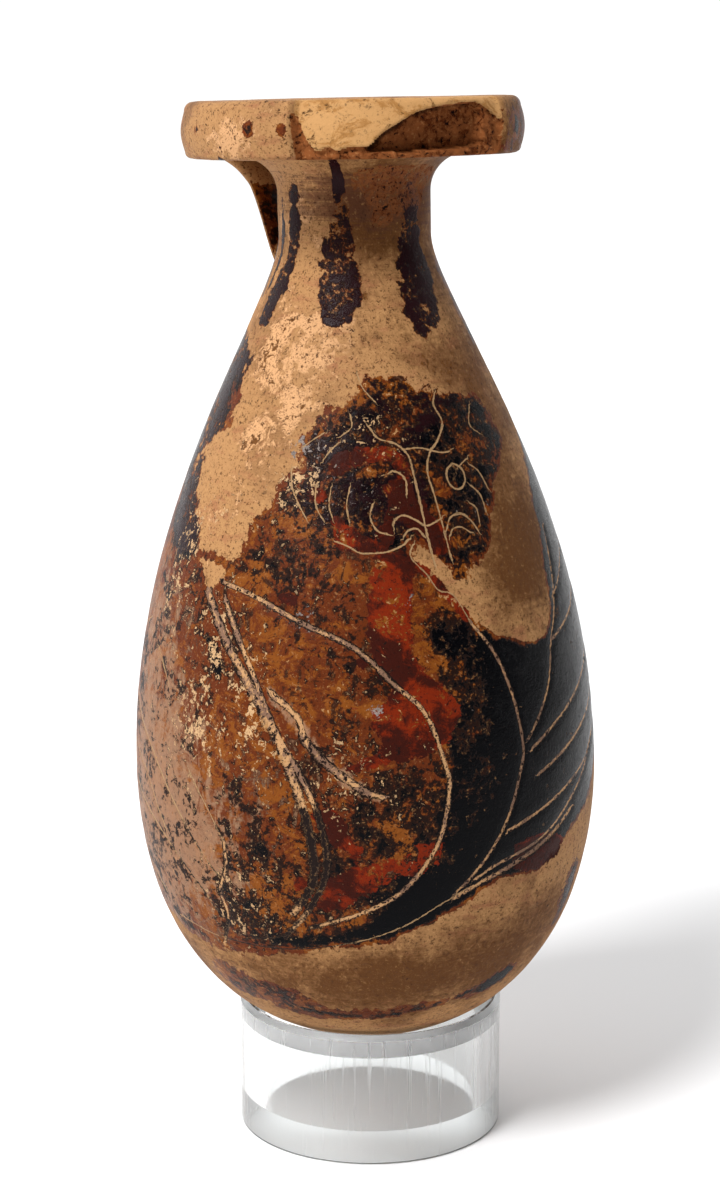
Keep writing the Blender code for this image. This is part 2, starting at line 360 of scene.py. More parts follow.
@dataclass(frozen=True)
class FlaskOutline:
    """Sizes and section of the turned flask, the same as its solid's.

    Lengths are named for what they measure. dish_share is the dish's radius as a share of the
    mouth's; foot_height is how far up the coarser facets of the hidden base go; flatness, fullness
    and sweep are how far the pulls of the outline's curves reach, as shares of their stretch.
    """

    height: float = 0.1775
    belly_radius: float = 0.0438
    belly_height: float = 0.0533
    body_wall: float = 0.0045
    base_wall: float = 0.006
    mouth_radius: float = 0.0314
    mouth_thickness: float = 0.0103
    mouth_bulge: float = 0.0007
    mouth_top_round: float = 0.0018
    mouth_under_round: float = 0.0012
    dish_depth: float = 0.0012
    dish_share: float = 0.74
    neck_radius: float = 0.0141
    neck_length: float = 0.0141
    neck_fillet: float = 0.0065
    bore_radius: float = 0.0075
    bore_round: float = 0.0015
    foot_height: float = 0.008
    base_flatness: float = 0.553
    belly_fullness: float = 0.668
    shoulder_fullness: float = 0.509
    neck_sweep: float = 0.12
    lean: float = math.radians(1.14)

    @property
    def under(self) -> float:
        """Height of the mouth's underside."""
        return self.height - self.mouth_thickness

    @property
    def neck_start(self) -> float:
        """Height where the shoulder becomes the straight neck."""
        return self.under - self.neck_length

    def body(self, belly: float, floor: float, top_radius: float) -> list[Point]:
        """Pear-shaped outline from the axis up to the neck.

        Args:
            belly: Greatest radius.
            floor: Height at the axis.
            top_radius: Radius at the neck.

        Returns:
            List of (radius, height) pairs, in fine steps.
        """
        below, above = self.belly_height - floor, self.neck_start - self.belly_height
        lower = bezier(
            (0.0, floor),
            (belly * self.base_flatness, floor),
            (belly, self.belly_height - below * self.belly_fullness),
            (belly, self.belly_height),
            200,
        )
        upper = bezier(
            (belly, self.belly_height),
            (belly, self.belly_height + above * self.shoulder_fullness),
            (top_radius, self.neck_start - above * self.neck_sweep),
            (top_radius, self.neck_start),
            200,
        )
        return lower + upper[1:]

    def outside(self) -> list[Point]:
        """Outer outline from the bottom's middle up to the neck."""
        return self.body(self.belly_radius, 0.0, self.neck_radius)

    def section(self) -> list[Point]:
        """Whole section of the wall, spaced for fine relief.

        Returns:
            List of (radius, height) pairs, up the inside and down the outside.
        """
        edge = self.mouth_radius - self.mouth_bulge
        low = self.under + self.mouth_under_round
        high = self.height - self.mouth_top_round
        lip = self.height - self.dish_depth
        turn = self.bore_radius + self.bore_round
        dish = self.mouth_radius * self.dish_share
        top_edge, under_edge = edge - self.mouth_top_round, edge - self.mouth_under_round
        outside = self.outside()
        foot = [point for point in outside if point[1] < self.foot_height]
        inner = self.body(self.belly_radius - self.body_wall, self.base_wall, self.bore_radius)
        fillet = [
            (self.neck_radius + self.neck_fillet - r, z)
            for r, z in arc((0.0, self.under - self.neck_fillet), self.neck_fillet, math.pi / 2, 0.0, 30)
        ]
        bulge = [
            (edge + self.mouth_bulge * math.sin(math.pi * step / 24), high + (low - high) * step / 24)
            for step in range(25)
        ]
        bend = [
            (turn - r, z) for r, z in arc((0.0, lip - self.bore_round), self.bore_round, 0.0, 1.57, 8)
        ]
        # Each stretch has its points and the length of its facets: fine where relief is cut or seen
        stretches = (
            (inner, 0.007),
            ([(self.bore_radius, self.neck_start), (self.bore_radius, lip - self.bore_round)], 0.004),
            (bend, 0.0006),
            ([(turn, lip), (dish, self.height)], 0.0012),
            ([(dish, self.height), (top_edge, self.height)], 0.00055),
            (arc((top_edge, high), self.mouth_top_round, math.pi / 2, 0.0, 12), 0.0004),
            (bulge, 0.0003),
            (arc((under_edge, low), self.mouth_under_round, 0.0, -math.pi / 2, 12), 0.0004),
            ([(under_edge, self.under), fillet[0]], 0.0007),
            (fillet + [(self.neck_radius, self.neck_start)], 0.0007),
            (outside[len(foot) - 1 :][::-1], 0.00078),
            (foot[::-1], 0.0018),
        )
        section = []
        for points, gap in stretches:
            section += spaced(points, gap)[1 if section else 0 :]
        return section


@dataclass(frozen=True)
class StrapPath:
    """Sizes of the handle, a band behind the left side of the neck.

    Attributes:
        azimuth: Direction in which it stands out, in radians.
        width: Width of the band.
        thickness: Its thickness.
        root_thickness: Its thickness where it leaves the mouth.
        root_share: Share of its length over which that thickness runs out.
        reach: Distance of its root from the axis.
        drop: How far below the mouth's underside it joins the neck.
        elbow_out: How far its bend stands out from the neck.
        elbow_drop: How far the root lies inside the mouth, and its pull below it.
        run_drop: How far down the upright run is pulled.
        sides: Facets round the band.
        spacing: Length of its facets.
    """

    azimuth: float = math.radians(-125.0)
    width: float = 0.0100
    thickness: float = 0.0030
    root_thickness: float = 0.0046
    root_share: float = 0.4
    reach: float = 0.0275
    drop: float = 0.0205
    elbow_out: float = 0.0044
    elbow_drop: float = 0.0014
    run_drop: float = 0.0112
    sides: int = 28
    spacing: float = 0.0007

    def path(self, outline: FlaskOutline) -> list[Point]:
        """Line of the band from the mouth's underside to the neck.

        Args:
            outline: The flask that it is fixed to.

        Returns:
            List of (radius, height) pairs.
        """
        run = outline.neck_radius + self.elbow_out
        return bezier(
            (self.reach, outline.under + self.elbow_drop),
            (run, outline.under - self.elbow_drop),
            (run, outline.under - self.run_drop),
            (outline.neck_radius, outline.under - self.drop),
            40,
        )


# Plan of the painting and of the damage, drawn on the flask's surface


class Line(Enum):
    """Kinds of scored line; each value begins the names of its attributes on the mesh."""

    GROOVE = "groove"
    SCORE = "score"


@dataclass(frozen=True)
class Stroke:
    """Line scored through the paint.

    Attributes:
        points: Plan points that it runs through.
        width: Width in mm.
    """

    points: Plan
    width: float


@dataclass(frozen=True)
class Patch:
    """Closed area of paint or bare clay.

    Attributes:
        points: Plan points round its edge.
        amount: Thickness of slip inside it, from -1 for bare clay to 1 for a full coat.
        softness: Width in mm over which its edge fades.
        ragged: How far in mm its edge wanders.
    """

    points: Plan
    amount: float
    softness: float = 1.5
    ragged: float = 1.0


@dataclass(frozen=True)
class Smudge:
    """Round soft spot that thickens or thins what it lies on.

    Attributes:
        azimuth: Azimuth of its middle, in degrees.
        height: Height of its middle, in mm.
        across: Radius across, in mm.
        along: Radius up and down, in mm.
        amount: Change at its middle.
    """

    azimuth: float
    height: float
    across: float
    along: float
    amount: float


BROAD_LINES = (
    Stroke(((-41, 94), (-29, 92), (-15, 88), (-2, 84), (7, 78), (15, 72), (19, 63), (20, 59), (18, 51),
        (14, 45), (8, 40), (1, 37), (-6, 35), (-14, 33)), 0.75),
    Stroke(((-46, 92), (-37, 84), (-28, 76), (-21, 68), (-16, 59), (-13, 50), (-13, 42), (-18, 36)), 1.5),
    Stroke(((-39, 91), (-29, 80), (-22, 70), (-14, 60), (-10, 51), (-10, 43), (-15, 36), (-21, 31)), 0.95),
    Stroke(((-23, 76), (-16, 72), (-14, 68), (-9, 64), (0, 59), (4, 58)), 1.1),
    Stroke(((22, 39), (25, 41), (31, 46), (36, 52), (40, 60), (41, 64), (39, 73), (35, 81), (29, 87)),
        0.55),
    Stroke(((22, 38), (28, 40), (37, 42), (49, 45), (60, 49)), 0.8),
    Stroke(((27, 41), (33, 43), (48, 46), (64, 53), (78, 60)), 0.6),
    Stroke(((36, 49), (50, 52), (74, 58), (88, 64)), 0.6),
    Stroke(((46, 58), (58, 61), (86, 68)), 0.6),
    Stroke(((44, 63), (56, 67), (80, 74)), 0.6),
    Stroke(((43, 65), (48, 69), (53, 74), (57, 81), (62, 86), (66, 92), (70, 100)), 0.5),
    Stroke(((88, 64), (104, 67), (120, 71)), 0.6),
    Stroke(((86, 68), (104, 73), (126, 79)), 0.6),
    Stroke(((80, 74), (100, 80), (130, 88)), 0.6),
    Stroke(((58, 81), (76, 85), (100, 91), (126, 96)), 0.55),
    Stroke(((63, 88), (80, 94), (112, 103)), 0.55),
    Stroke(((-110, 50), (-124, 56), (-138, 66)), 0.5),
    Stroke(((-96, 64), (-112, 68), (-130, 78)), 0.5),
    Stroke(((-92, 72), (-108, 78), (-128, 90)), 0.5),
    Stroke(((-100, 78), (-114, 84), (-124, 96), (-126, 106)), 0.5),
    Stroke(((-36, 48), (-36, 43), (-39, 38), (-38, 33), (-42, 27)), 0.7),
)

FINE_LINES = (
    Stroke(((29, 87), (25, 92), (21, 93), (18, 96), (14, 99), (15, 101)), 0.3),
    Stroke(((-7, 102), (-3, 101), (0, 100), (7, 100), (12, 101), (14, 102)), 0.34),
    Stroke(((-61, 29), (-45, 28), (-23, 28), (-5, 30), (8, 33), (18, 37), (24, 39)), 0.3),
    Stroke(((4, 121), (7, 119), (13, 118), (17, 116), (18, 113), (19, 107), (20, 101), (21, 97)), 0.42),
    Stroke(((33, 126), (31, 124), (33, 121), (29, 118), (25, 116), (23, 113), (24, 109), (25, 104),
        (26, 98)), 0.42),
    Stroke(((17, 117), (22, 117), (29, 116), (33, 116)), 0.34),
    Stroke(((26, 103), (28, 105), (32, 105.4), (35, 104), (37, 102)), 0.4),
    Stroke(((27, 102), (28, 103), (31, 103.2), (34, 102)), 0.34),
    Stroke(((10, 104), (10, 105), (13, 106), (17, 105), (20, 104), (25, 105)), 0.38),
    Stroke(((13, 102.6), (14, 103.4), (17, 103.6), (19, 102)), 0.34),
    Stroke(((9, 113), (12, 113.4), (15, 112), (15, 109.6)), 0.4),
    Stroke(((4, 108), (3, 106), (5, 103.6), (8, 103)), 0.34),
    Stroke(((-23, 114), (-22, 111), (-19, 108), (-16, 105.5)), 0.34),
    Stroke(((-14, 111), (-13.6, 108), (-11, 105.5)), 0.34),
    Stroke(((-9, 111), (-9.4, 108), (-8, 105.6)), 0.32),
    Stroke(((-3, 111), (-4, 108), (-3, 105)), 0.3),
    Stroke(((0, 130), (2, 127.6), (7, 125)), 0.3),
    Stroke(((40, 113.4), (43, 112), (45, 109)), 0.34),
    Stroke(((38, 110), (41, 108), (41.5, 105)), 0.34),
    Stroke(((36, 107), (38, 106), (38, 103.6)), 0.3),
    Stroke(((49, 123), (45.5, 120), (50, 118)), 0.26),
    Stroke(((-3, 123), (-2.4, 121), (-6, 119.6)), 0.28),
    Stroke(((-20, 117.6), (-16, 119), (-12.6, 120)), 0.3),
    Stroke(((-12, 115.6), (-10, 117), (-7, 118.4)), 0.3),
    Stroke(((33, 113.9), (30.2, 113), (29.6, 111.4), (31, 109.9), (34, 109.6), (36.4, 111), (36, 113),
        (33, 113.9)), 0.38),
    Stroke(((35.6, 113.4), (39, 114.4)), 0.34),
    Stroke(((-92, 72), (-84, 69), (-76, 66), (-64, 61), (-53, 53), (-45, 46), (-39, 41)), 0.55),
    Stroke(((-90, 56), (-81, 53), (-65, 48), (-54, 43), (-45, 37), (-40, 32)), 0.5),
    Stroke(((-66, 80), (-61, 77), (-57, 74)), 0.3),
    Stroke(((-47, 60), (-40, 53), (-36, 48)), 0.3),
    Stroke(((-96, 64), (-82, 60), (-68, 56), (-61, 50), (-57, 46)), 0.46),
    Stroke(((-33, 29), (-26, 30), (-21, 31)), 0.3),
    Stroke(((-100, 78), (-92, 80), (-84, 82), (-76, 84)), 0.34),
    Stroke(((-110, 50), (-98, 48), (-88, 44), (-76, 38), (-66, 33)), 0.46),
)


class Layer(Enum):
    """What the surface carries; each value names its attribute on the mesh."""

    SLIP = "slip"  # Thickness of the dark slip
    RED = "red"  # Red laid over it
    PURPLE = "purple"  # Where thick slip turns purple black
    GRIT = "grit"  # Rough broken clay
    PALE = "pale"  # Smooth pale skin over the break
    DUST = "dust"  # Bare specks where everything has flaked off
    LIGHT = "light"  # Burnished skin left on the bare clay
    STAIN = "stain"  # Greyish lime, and in the hair painted highlight glints
    LIME_AND_GLINT = "lime_and_glint"  # Greyish lime
    RUB_AND_SHEEN = "rub_and_sheen"  # Slip rubbed pale and dull, which on the left side is also a painted sheen
    SOOT = "soot"  # Dark dirt in the scored lines
    SHADE = "shade"  # Painted shade in the hollow under the skin's lip
    TURN = "turn"  # Dark lines left by turning on the wheel


@dataclass(frozen=True)
class Brushstroke:
    """Painted band along an open line.

    Attributes:
        points: Plan points along its middle.
        width: Width in mm.
        amount: Value that it paints.
        softness: Width in mm over which its edges fade.
        ragged: How far in mm its edges wander.
    """

    points: Plan
    width: float
    amount: float
    softness: float = 1.5
    ragged: float = 0.8


Mark = Patch | Brushstroke | Smudge

# Edges of the large areas that more than one layer uses
MANE = (
    (-21, 114), (-21, 119), (-18, 123), (-7, 125), (1, 129), (12, 130), (28, 128), (41, 126), (57, 124),
    (61, 118), (56, 114), (48, 110), (43, 105), (41, 101), (36, 97), (29, 94), (22, 96), (19, 100),
    (14, 102), (10, 100), (-3, 101), (-11, 101), (-18, 104), (-23, 108), (-25, 112),
)
FIGURE = (
    (-118, 116), (-90, 122), (-73, 117), (-62, 108), (-56, 103), (-50, 96), (-44, 93), (-38, 98),
    (-32, 106), (-25, 112), (-20, 118), (-8, 122), (5, 124), (20, 120), (20, 105), (15, 99), (20, 95),
    (27, 88), (34, 80), (39, 72), (41, 64), (40, 60), (36, 52), (31, 46), (22, 38), (8, 32), (-5, 29),
    (-23, 27), (-45, 25), (-61, 26), (-85, 31), (-112, 40), (-134, 54), (-150, 74), (-156, 92),
    (-150, 104), (-136, 112),
)
WING = (
    (69, 107), (64, 100), (61, 94), (58, 87), (49, 82), (40, 83), (33, 85), (25, 87), (20, 85), (21, 80),
    (22, 74), (22, 67), (20, 60), (18, 54), (15, 48), (11, 42), (7, 38), (1, 34), (-7, 31), (4, 31),
    (16, 34), (25, 37), (34, 40), (47, 40), (60, 45), (72, 49), (85, 56), (100, 60), (120, 64),
    (138, 72), (146, 84), (140, 98), (122, 108), (105, 114), (90, 117), (80, 114), (73, 110),
)
BUFF_PATCH = (
    (53, 111), (48, 107), (43, 103), (39, 97), (34, 93), (30, 91), (35, 87), (40, 84), (54, 82), (59, 88),
    (61, 95), (66, 101), (66, 105), (63, 111), (59, 114),
)
BASE_BAND = (
    (-58, 19), (-54, 15), (-37, 13), (-23, 11), (-7, 11), (11, 12), (28, 14), (40, 14), (52, 18), (47, 20),
    (37, 17), (20, 16), (0, 14.5), (-13, 15), (-25, 19), (-41, 21), (-51, 22),
)

HEAD = (
    (23, 118), (34, 121), (44, 125), (56, 123), (60, 118), (55, 113), (48, 110), (43, 105), (40, 101),
    (35, 98), (28, 97), (25, 101), (23, 108),
)
BARE = -0.7  # Slip of bare clay, low enough that no pattern brings it up
# Marks of each layer, the lower ones first
PLAN: dict[Layer, tuple[Mark, ...]] = {
    Layer.SLIP: (
        # Body, wing, breast, mane and head, and the bare buff between them
        Patch(FIGURE, 0.4, 4.0, 1.4),
        Patch(WING, 1.05, 3.5, 0.8),
        Patch(((19, 88), (19, 80), (20, 74), (20, 67), (18, 60), (14, 52), (6, 40), (14, 38), (26, 50),
            (31, 60), (32, 70), (31, 80), (28, 88)), 0.76, 5.0, 2.0),
        Patch(MANE, 0.34, 5.0, 1.2),
        Patch(HEAD, 0.62, 5.0, 2.0),
        Patch(BUFF_PATCH, BARE, 1.6, 0.7),
        # Tongue of the left shoulder and its run down to the body
        Patch(((-95, 136), (-90, 127), (-81, 119), (-69, 115), (-60, 117), (-57, 123), (-59, 130),
            (-66, 135)), 0.4, 4.0, 1.8),
        Brushstroke(((-78, 120), (-71, 112), (-65, 104)), 4.0, 0.15, 4.0, 2.0),
        # Stripe low down
        Patch(BASE_BAND, 0.34, 2.8, 1.2),
        # Tongues and stripes of the neck's front
        Brushstroke(((-50, 167), (-50, 158), (-50, 150), (-55, 144), (-60, 138)), 3.4, 0.2, 2.4, 0.7),
        Brushstroke(((-57, 146), (-62, 139)), 4.2, 0.28, 2.4, 1.0),
        Brushstroke(((-69, 167), (-67, 158), (-68, 149), (-72, 143)), 1.6, 0.28, 1.6, 0.4),
        Patch(((-14, 167), (-17, 158), (-24, 152), (-27, 147), (-23, 142), (-16, 138), (-9, 137), (1, 140),
            (5, 145), (2, 150), (-3, 157), (-9, 167)), 0.2, 2.6, 0.9),
        Patch(((42, 162), (34, 153), (28, 146), (27, 140), (35, 135.5), (44, 136), (53, 139), (58, 144),
            (60, 150), (52, 160)), 0.34, 2.6, 1.0),
        Brushstroke(((-90, 166), (-88, 156), (-84, 148), (-78, 142)), 1.8, 0.4, 1.4, 0.3),
        # Slip left along the scored lines
        Brushstroke(((-43, 84), (-40, 81), (-38, 78)), 1.4, 0.9, 1.2, 0.3),
        Brushstroke(((-52, 98), (-40, 97), (-28, 96), (-14, 96)), 1.4, 0.55, 1.6, 0.8),
        Brushstroke(((-36, 89), (-26, 88), (-16, 86)), 1.2, 0.6, 1.6, 0.8),
        # Rust at the mouth's right end
        Patch(((61, 176), (61, 168), (76, 168), (88, 168), (96, 176)), 0.0, 3.0, 1.6),
        # Tongues of the neck's back
        Brushstroke(((81, 147), (84, 134)), 4.5, 0.5, 3.0),
        Brushstroke(((132, 160), (130, 148), (134, 136)), 5.5, 0.4, 2.0),
        Brushstroke(((178, 162), (176, 149), (180, 135)), 5.5, 0.4, 2.0),
        Brushstroke(((-140, 150), (-134, 144), (-137, 134)), 5.5, 0.4, 2.0),
        # Thin slip under the mouth
        Smudge(12, 164, 16, 3, 0.35),
        Smudge(44, 162, 12, 5, 0.5),
        # Dots round the mouth's edge
        *(Smudge(azimuth, 172.6, 1.4, 1.9, 1.1) for azimuth in (-62, -23, 69, 88, 108, 128, 149, 170, -169,
            -149, -128, -106, -85)),
        # Thicker places and dark strokes in the worn body
        Smudge(-38, 98, 7, 4, 0.14),
        Smudge(-22, 99, 7, 3.5, 0.14),
        Smudge(-4, 48, 14, 14, 0.14),
        Smudge(8, 52, 9, 12, 0.16),
        Smudge(-24, 34, 10, 6, 0.14),
        Brushstroke(((-44, 90), (-35, 82), (-26, 73), (-19, 65), (-14, 56)), 2.4, 0.1, 1.5, 0.8),
        Brushstroke(((-24, 29.6), (-10, 30.6), (4, 33)), 2.2, 0.95, 1.6, 0.8),
        Smudge(-120, 80, 18, 24, 0.16),
        Brushstroke(((-38, 63), (-35, 60), (-32, 58), (-30, 54)), 1.4, 0.6, 2.4, 1.6),
        Brushstroke(((-27, 50), (-25, 48), (-21, 46), (-18, 44)), 2.0, 0.62, 2.6, 1.6),
        Brushstroke(((-35, 46), (-37, 40), (-37, 35), (-40, 29)), 1.6, 0.62, 2.6, 1.6),
        Smudge(-30, 42, 9, 7, 0.14),
        Smudge(-2, 40, 9, 5, 0.2),
        Smudge(-30, 34, 7, 4, 0.2),
        Smudge(14, 40, 8, 4, 0.3),
        Smudge(-62, 60, 10, 30, 0.1),
        Smudge(-35, 172.6, 1.4, 1.9, 1.15),
        Smudge(-48, 169.6, 0.8, 0.7, 0.8),
        Smudge(67, 32, 4, 9, 1.25),
        Smudge(46, 17.5, 5, 2, 0.9),
        Brushstroke(((-28, 14), (-12, 12.6), (4, 12.4), (20, 13.6), (34, 16)), 0.9, 0.62, 1.2, 0.6),
    ),
    Layer.RED: (
        # Neck and breast
        Patch(((3, 99), (11, 100), (16, 98), (14, 96), (14, 92), (13, 85), (14, 81), (20, 77), (24, 72),
            (20, 67), (13, 64), (7, 63.6), (3, 63), (-3, 62), (-5, 63), (-1, 65), (4, 67), (3, 69), (1, 73),
            (5, 75), (7, 77), (4, 79), (2, 84), (1, 89), (2, 94)), 0.72, 2.0, 0.9),
        # Locks and cheek
        Patch(((-10, 115), (-5, 117), (9, 118), (16, 116), (17, 112), (13, 112), (9, 114.6), (-8, 112.6)),
            0.6, 1.4, 0.6),
        Patch(((11, 112), (16, 112), (17, 109), (13, 106), (10, 104), (9, 102), (5, 103), (7, 106),
            (9, 109), (7, 111)), 0.66, 1.4, 0.6),
        Patch(((-8, 104), (-3, 105), (3, 102.6), (9, 103), (6, 100), (0, 99.4), (-7, 100.6)), 0.6, 1.4,
            0.6),
        Patch(((13, 108), (20, 108.6), (22, 106), (26, 103), (27, 100), (22, 98.6), (19, 101), (16, 103),
            (13, 105)), 0.72, 1.4, 0.4),
        # What is left on the body and the wing
        Patch(((-13, 54.6), (-8, 56), (-5, 54), (-3, 50), (0, 49), (-2, 46.6), (-6, 48.6), (-10, 51)), 0.78,
            1.4, 0.6),
        Patch(((17, 50), (11, 48.6), (5, 47), (0, 46), (-5, 44), (-10, 42), (-15, 38.6), (-9, 37), (-3, 38),
            (3, 41), (8, 42.4), (14, 43.6), (19, 46)), 0.7, 1.6, 0.9),
        Patch(((38, 46), (46, 47), (56, 45), (55, 41), (46, 39.6), (38, 41)), 0.62, 2.0, 0.8),
        # Single spots
        Smudge(-16, 41.6, 2.0, 1.6, 1.0),
        Smudge(-19.5, 92, 1.9, 1.2, 1.1),
        Smudge(0, 81.4, 1.0, 1.1, 1.1),
        Smudge(-13, 109.6, 2.2, 1.7, 0.9),
        Smudge(-7, 105.4, 1.3, 1.1, 0.9),
        Brushstroke(((17, 97), (22, 93), (28, 88)), 2.2, 0.7, 1.5, 0.5),
    ),
    Layer.PURPLE: (
        Patch(MANE, 0.7, 5.0),
        Patch(HEAD, 0.1, 3.0),
        Brushstroke(((-8, 168), (-14, 149), (-7, 134)), 12.0, 1.0, 4.0),
        Brushstroke(((-53, 168), (-58, 152), (-63, 134)), 15.0, 1.0, 4.0),
        Brushstroke(((40, 160), (36, 149), (40, 132)), 16.0, 1.0, 4.0),
        Brushstroke(((-90, 166), (-84, 158), (-78, 146)), 8.0, 1.0, 3.0),
        Brushstroke(((132, 162), (130, 148), (134, 134)), 12.0, 1.0, 4.0),
        Brushstroke(((178, 164), (176, 149), (180, 133)), 12.0, 1.0, 4.0),
        Brushstroke(((-140, 152), (-134, 144), (-137, 132)), 12.0, 1.0, 4.0),
        Brushstroke(((-98, 136), (-80, 122), (-64, 104)), 16.0, 0.9, 4.0),
        Smudge(-35, 172.6, 3.0, 3.0, 0.5),
        Smudge(46, 43, 8, 5, 0.6),
        Smudge(67, 32, 5, 10, 0.9),
        Smudge(-35, 16, 18, 5, 0.4),
        Smudge(40, 17, 14, 4, 0.3),
    ),
    Layer.GRIT: (
        Patch(((2, 165), (6, 158), (14, 154), (40, 156), (66, 160), (72, 165)), 0.48, 4.0, 2.0),
    ),
    Layer.PALE: (),
    Layer.DUST: (
        Patch(FIGURE, 0.28, 6.0),
        Patch(WING, -0.4, 4.0),
        Smudge(-44, 68, 9, 12, 0.4),
        Smudge(-40, 88, 5, 10, 0.35),
        Smudge(-27, 74, 4, 14, 0.35),
        Smudge(-60, 92, 6, 10, 0.35),
        Smudge(-50, 106, 8, 8, 0.5),
        Smudge(-22, 112, 5, 5, 0.5),
        Smudge(10, 122, 12, 6, 0.3),
        Smudge(24, 168.0, 4.5, 1.2, 1.0),
        Smudge(-6, 60, 10, 8, 0.3),
        Smudge(-34, 36, 10, 10, 0.3),
        Smudge(20, 40, 8, 4, 0.55),
        Smudge(30, 80, 4, 4, 0.6),
    ),
    Layer.LIGHT: (
        Patch(((-23, 126), (-39, 122), (-60, 117), (-57, 107), (-48, 95), (-38, 100), (-31, 108),
            (-24, 117)), 0.18, 4.0),
        Smudge(-38, 134, 15, 14, 0.42),
        Smudge(-40, 158, 12, 8, 0.3),
        Smudge(-45, 172, 14, 6, 0.3),
    ),
    Layer.STAIN: (
        Smudge(54, 98, 11, 14, 0.92),
        Smudge(40, 92, 8, 8, 0.3),
        Smudge(64, 128, 12, 18, 0.5),
        Smudge(20, 134, 12, 8, 0.3),
        Smudge(0, 20, 30, 10, 0.85),
        Smudge(5, 22.5, 4, 3.5, 0.6),
        Smudge(48, 26, 18, 12, 0.6),
        Smudge(-70, 20, 12, 10, 0.4),
        Smudge(8, 160, 10, 8, 0.55),
        Smudge(42, 158, 14, 12, 0.9),
        Smudge(90, 168, 14, 8, 0.6),
        Smudge(74, 173, 8, 5, 0.7),
        Smudge(150, 90, 40, 60, 0.4),
        Smudge(-140, 90, 40, 60, 0.4),
    ),
    Layer.LIME_AND_GLINT: (
        # The first two spots, in the hair, are painted highlight glints over grey lime; the others are lime
        Smudge(-4, 110, 11.0, 8.0, 0.5),
        Smudge(-20, 118, 4.5, 3.5, 0.7),
        Smudge(12, 92, 3.5, 3.0, 0.55),
        Smudge(3, 73, 2.2, 1.5, 0.7),
        Smudge(38, 106, 7.0, 3.0, 0.5),
        Smudge(-16, 88, 5.0, 4.0, 0.55),
        Smudge(0, 60, 30, 30, 0.2),
    ),
    Layer.RUB_AND_SHEEN: (
        # Rubbed slip; the large spots far round on the left side are also a painted sheen of the side that
        # faces the bright room
        Smudge(-68, 44, 16, 27, 0.85),
        Smudge(-112, 80, 26, 30, 0.35),
        Smudge(-42, 44, 14, 13, 0.5),
        Brushstroke(((-23, 76), (-16, 71), (-10, 65), (-2, 60), (4, 58)), 2.4, 0.9, 1.6, 0.6),
        Smudge(-52, 60, 12, 20, 0.45),
        Smudge(-70, 84, 10, 16, 0.5),
        Smudge(-24, 58, 8, 10, 0.2),
        Smudge(72, 60, 8, 30, 0.3),
    ),
    Layer.SOOT: (
        Smudge(-12, 46, 10, 14, 0.9),
        Smudge(-46, 44, 14, 16, 0.55),
        Smudge(-25, 29, 14, 4, 0.8),
        Smudge(-18, 171, 4, 2.5, 0.4),
    ),
    Layer.SHADE: (),
    Layer.TURN: (
        Smudge(-40, 161, 10, 6, 0.6),
        Smudge(0, 160, 12, 7, 0.6),
        Smudge(45, 158, 12, 9, 0.6),
        Smudge(120, 159, 20, 7, 0.5),
        Smudge(-140, 159, 20, 7, 0.5),
        Smudge(60, 140, 14, 10, 0.3),
    ),
}


def rounded(points: Plan, closed: bool, steps: int = 6) -> np.ndarray:
    """Smooth line through plan points.

    Args:
        points: Plan points.
        closed: Whether the line comes back to its start.
        steps: Stretches between one point and the next.

    Returns:
        Array of plan points.
    """
    line = np.array(points, dtype=float)
    if closed:
        padded = np.vstack([line[-1], line, line[0], line[1]])
    else:
        padded = np.vstack([2 * line[0] - line[1], line, 2 * line[-1] - line[-2]])
    share = np.linspace(0.0, 1.0, steps, endpoint=False)[:, None]
    smooth = []
    for before, start, end, after in zip(padded, padded[1:], padded[2:], padded[3:]):
        smooth.append(
            0.5
            * (
                2 * start
                + (end - before) * share
                + (2 * before - 5 * start + 4 * end - after) * share**2
                + (3 * start - before - 3 * end + after) * share**3
            )
        )
    tail = line[:1] if closed else line[-1:]
    return np.vstack(smooth + [tail])


def bare_value(layer: Layer) -> float:
    """Value of a layer where nothing is painted."""
    return BARE if layer is Layer.SLIP else 0.0


def ease(low: float, high: float, value: np.ndarray) -> np.ndarray:
    """Smooth step from 0 at low to 1 at high."""
    share = np.clip((value - low) / (high - low), 0.0, 1.0)
    return share * share * (3 - 2 * share)


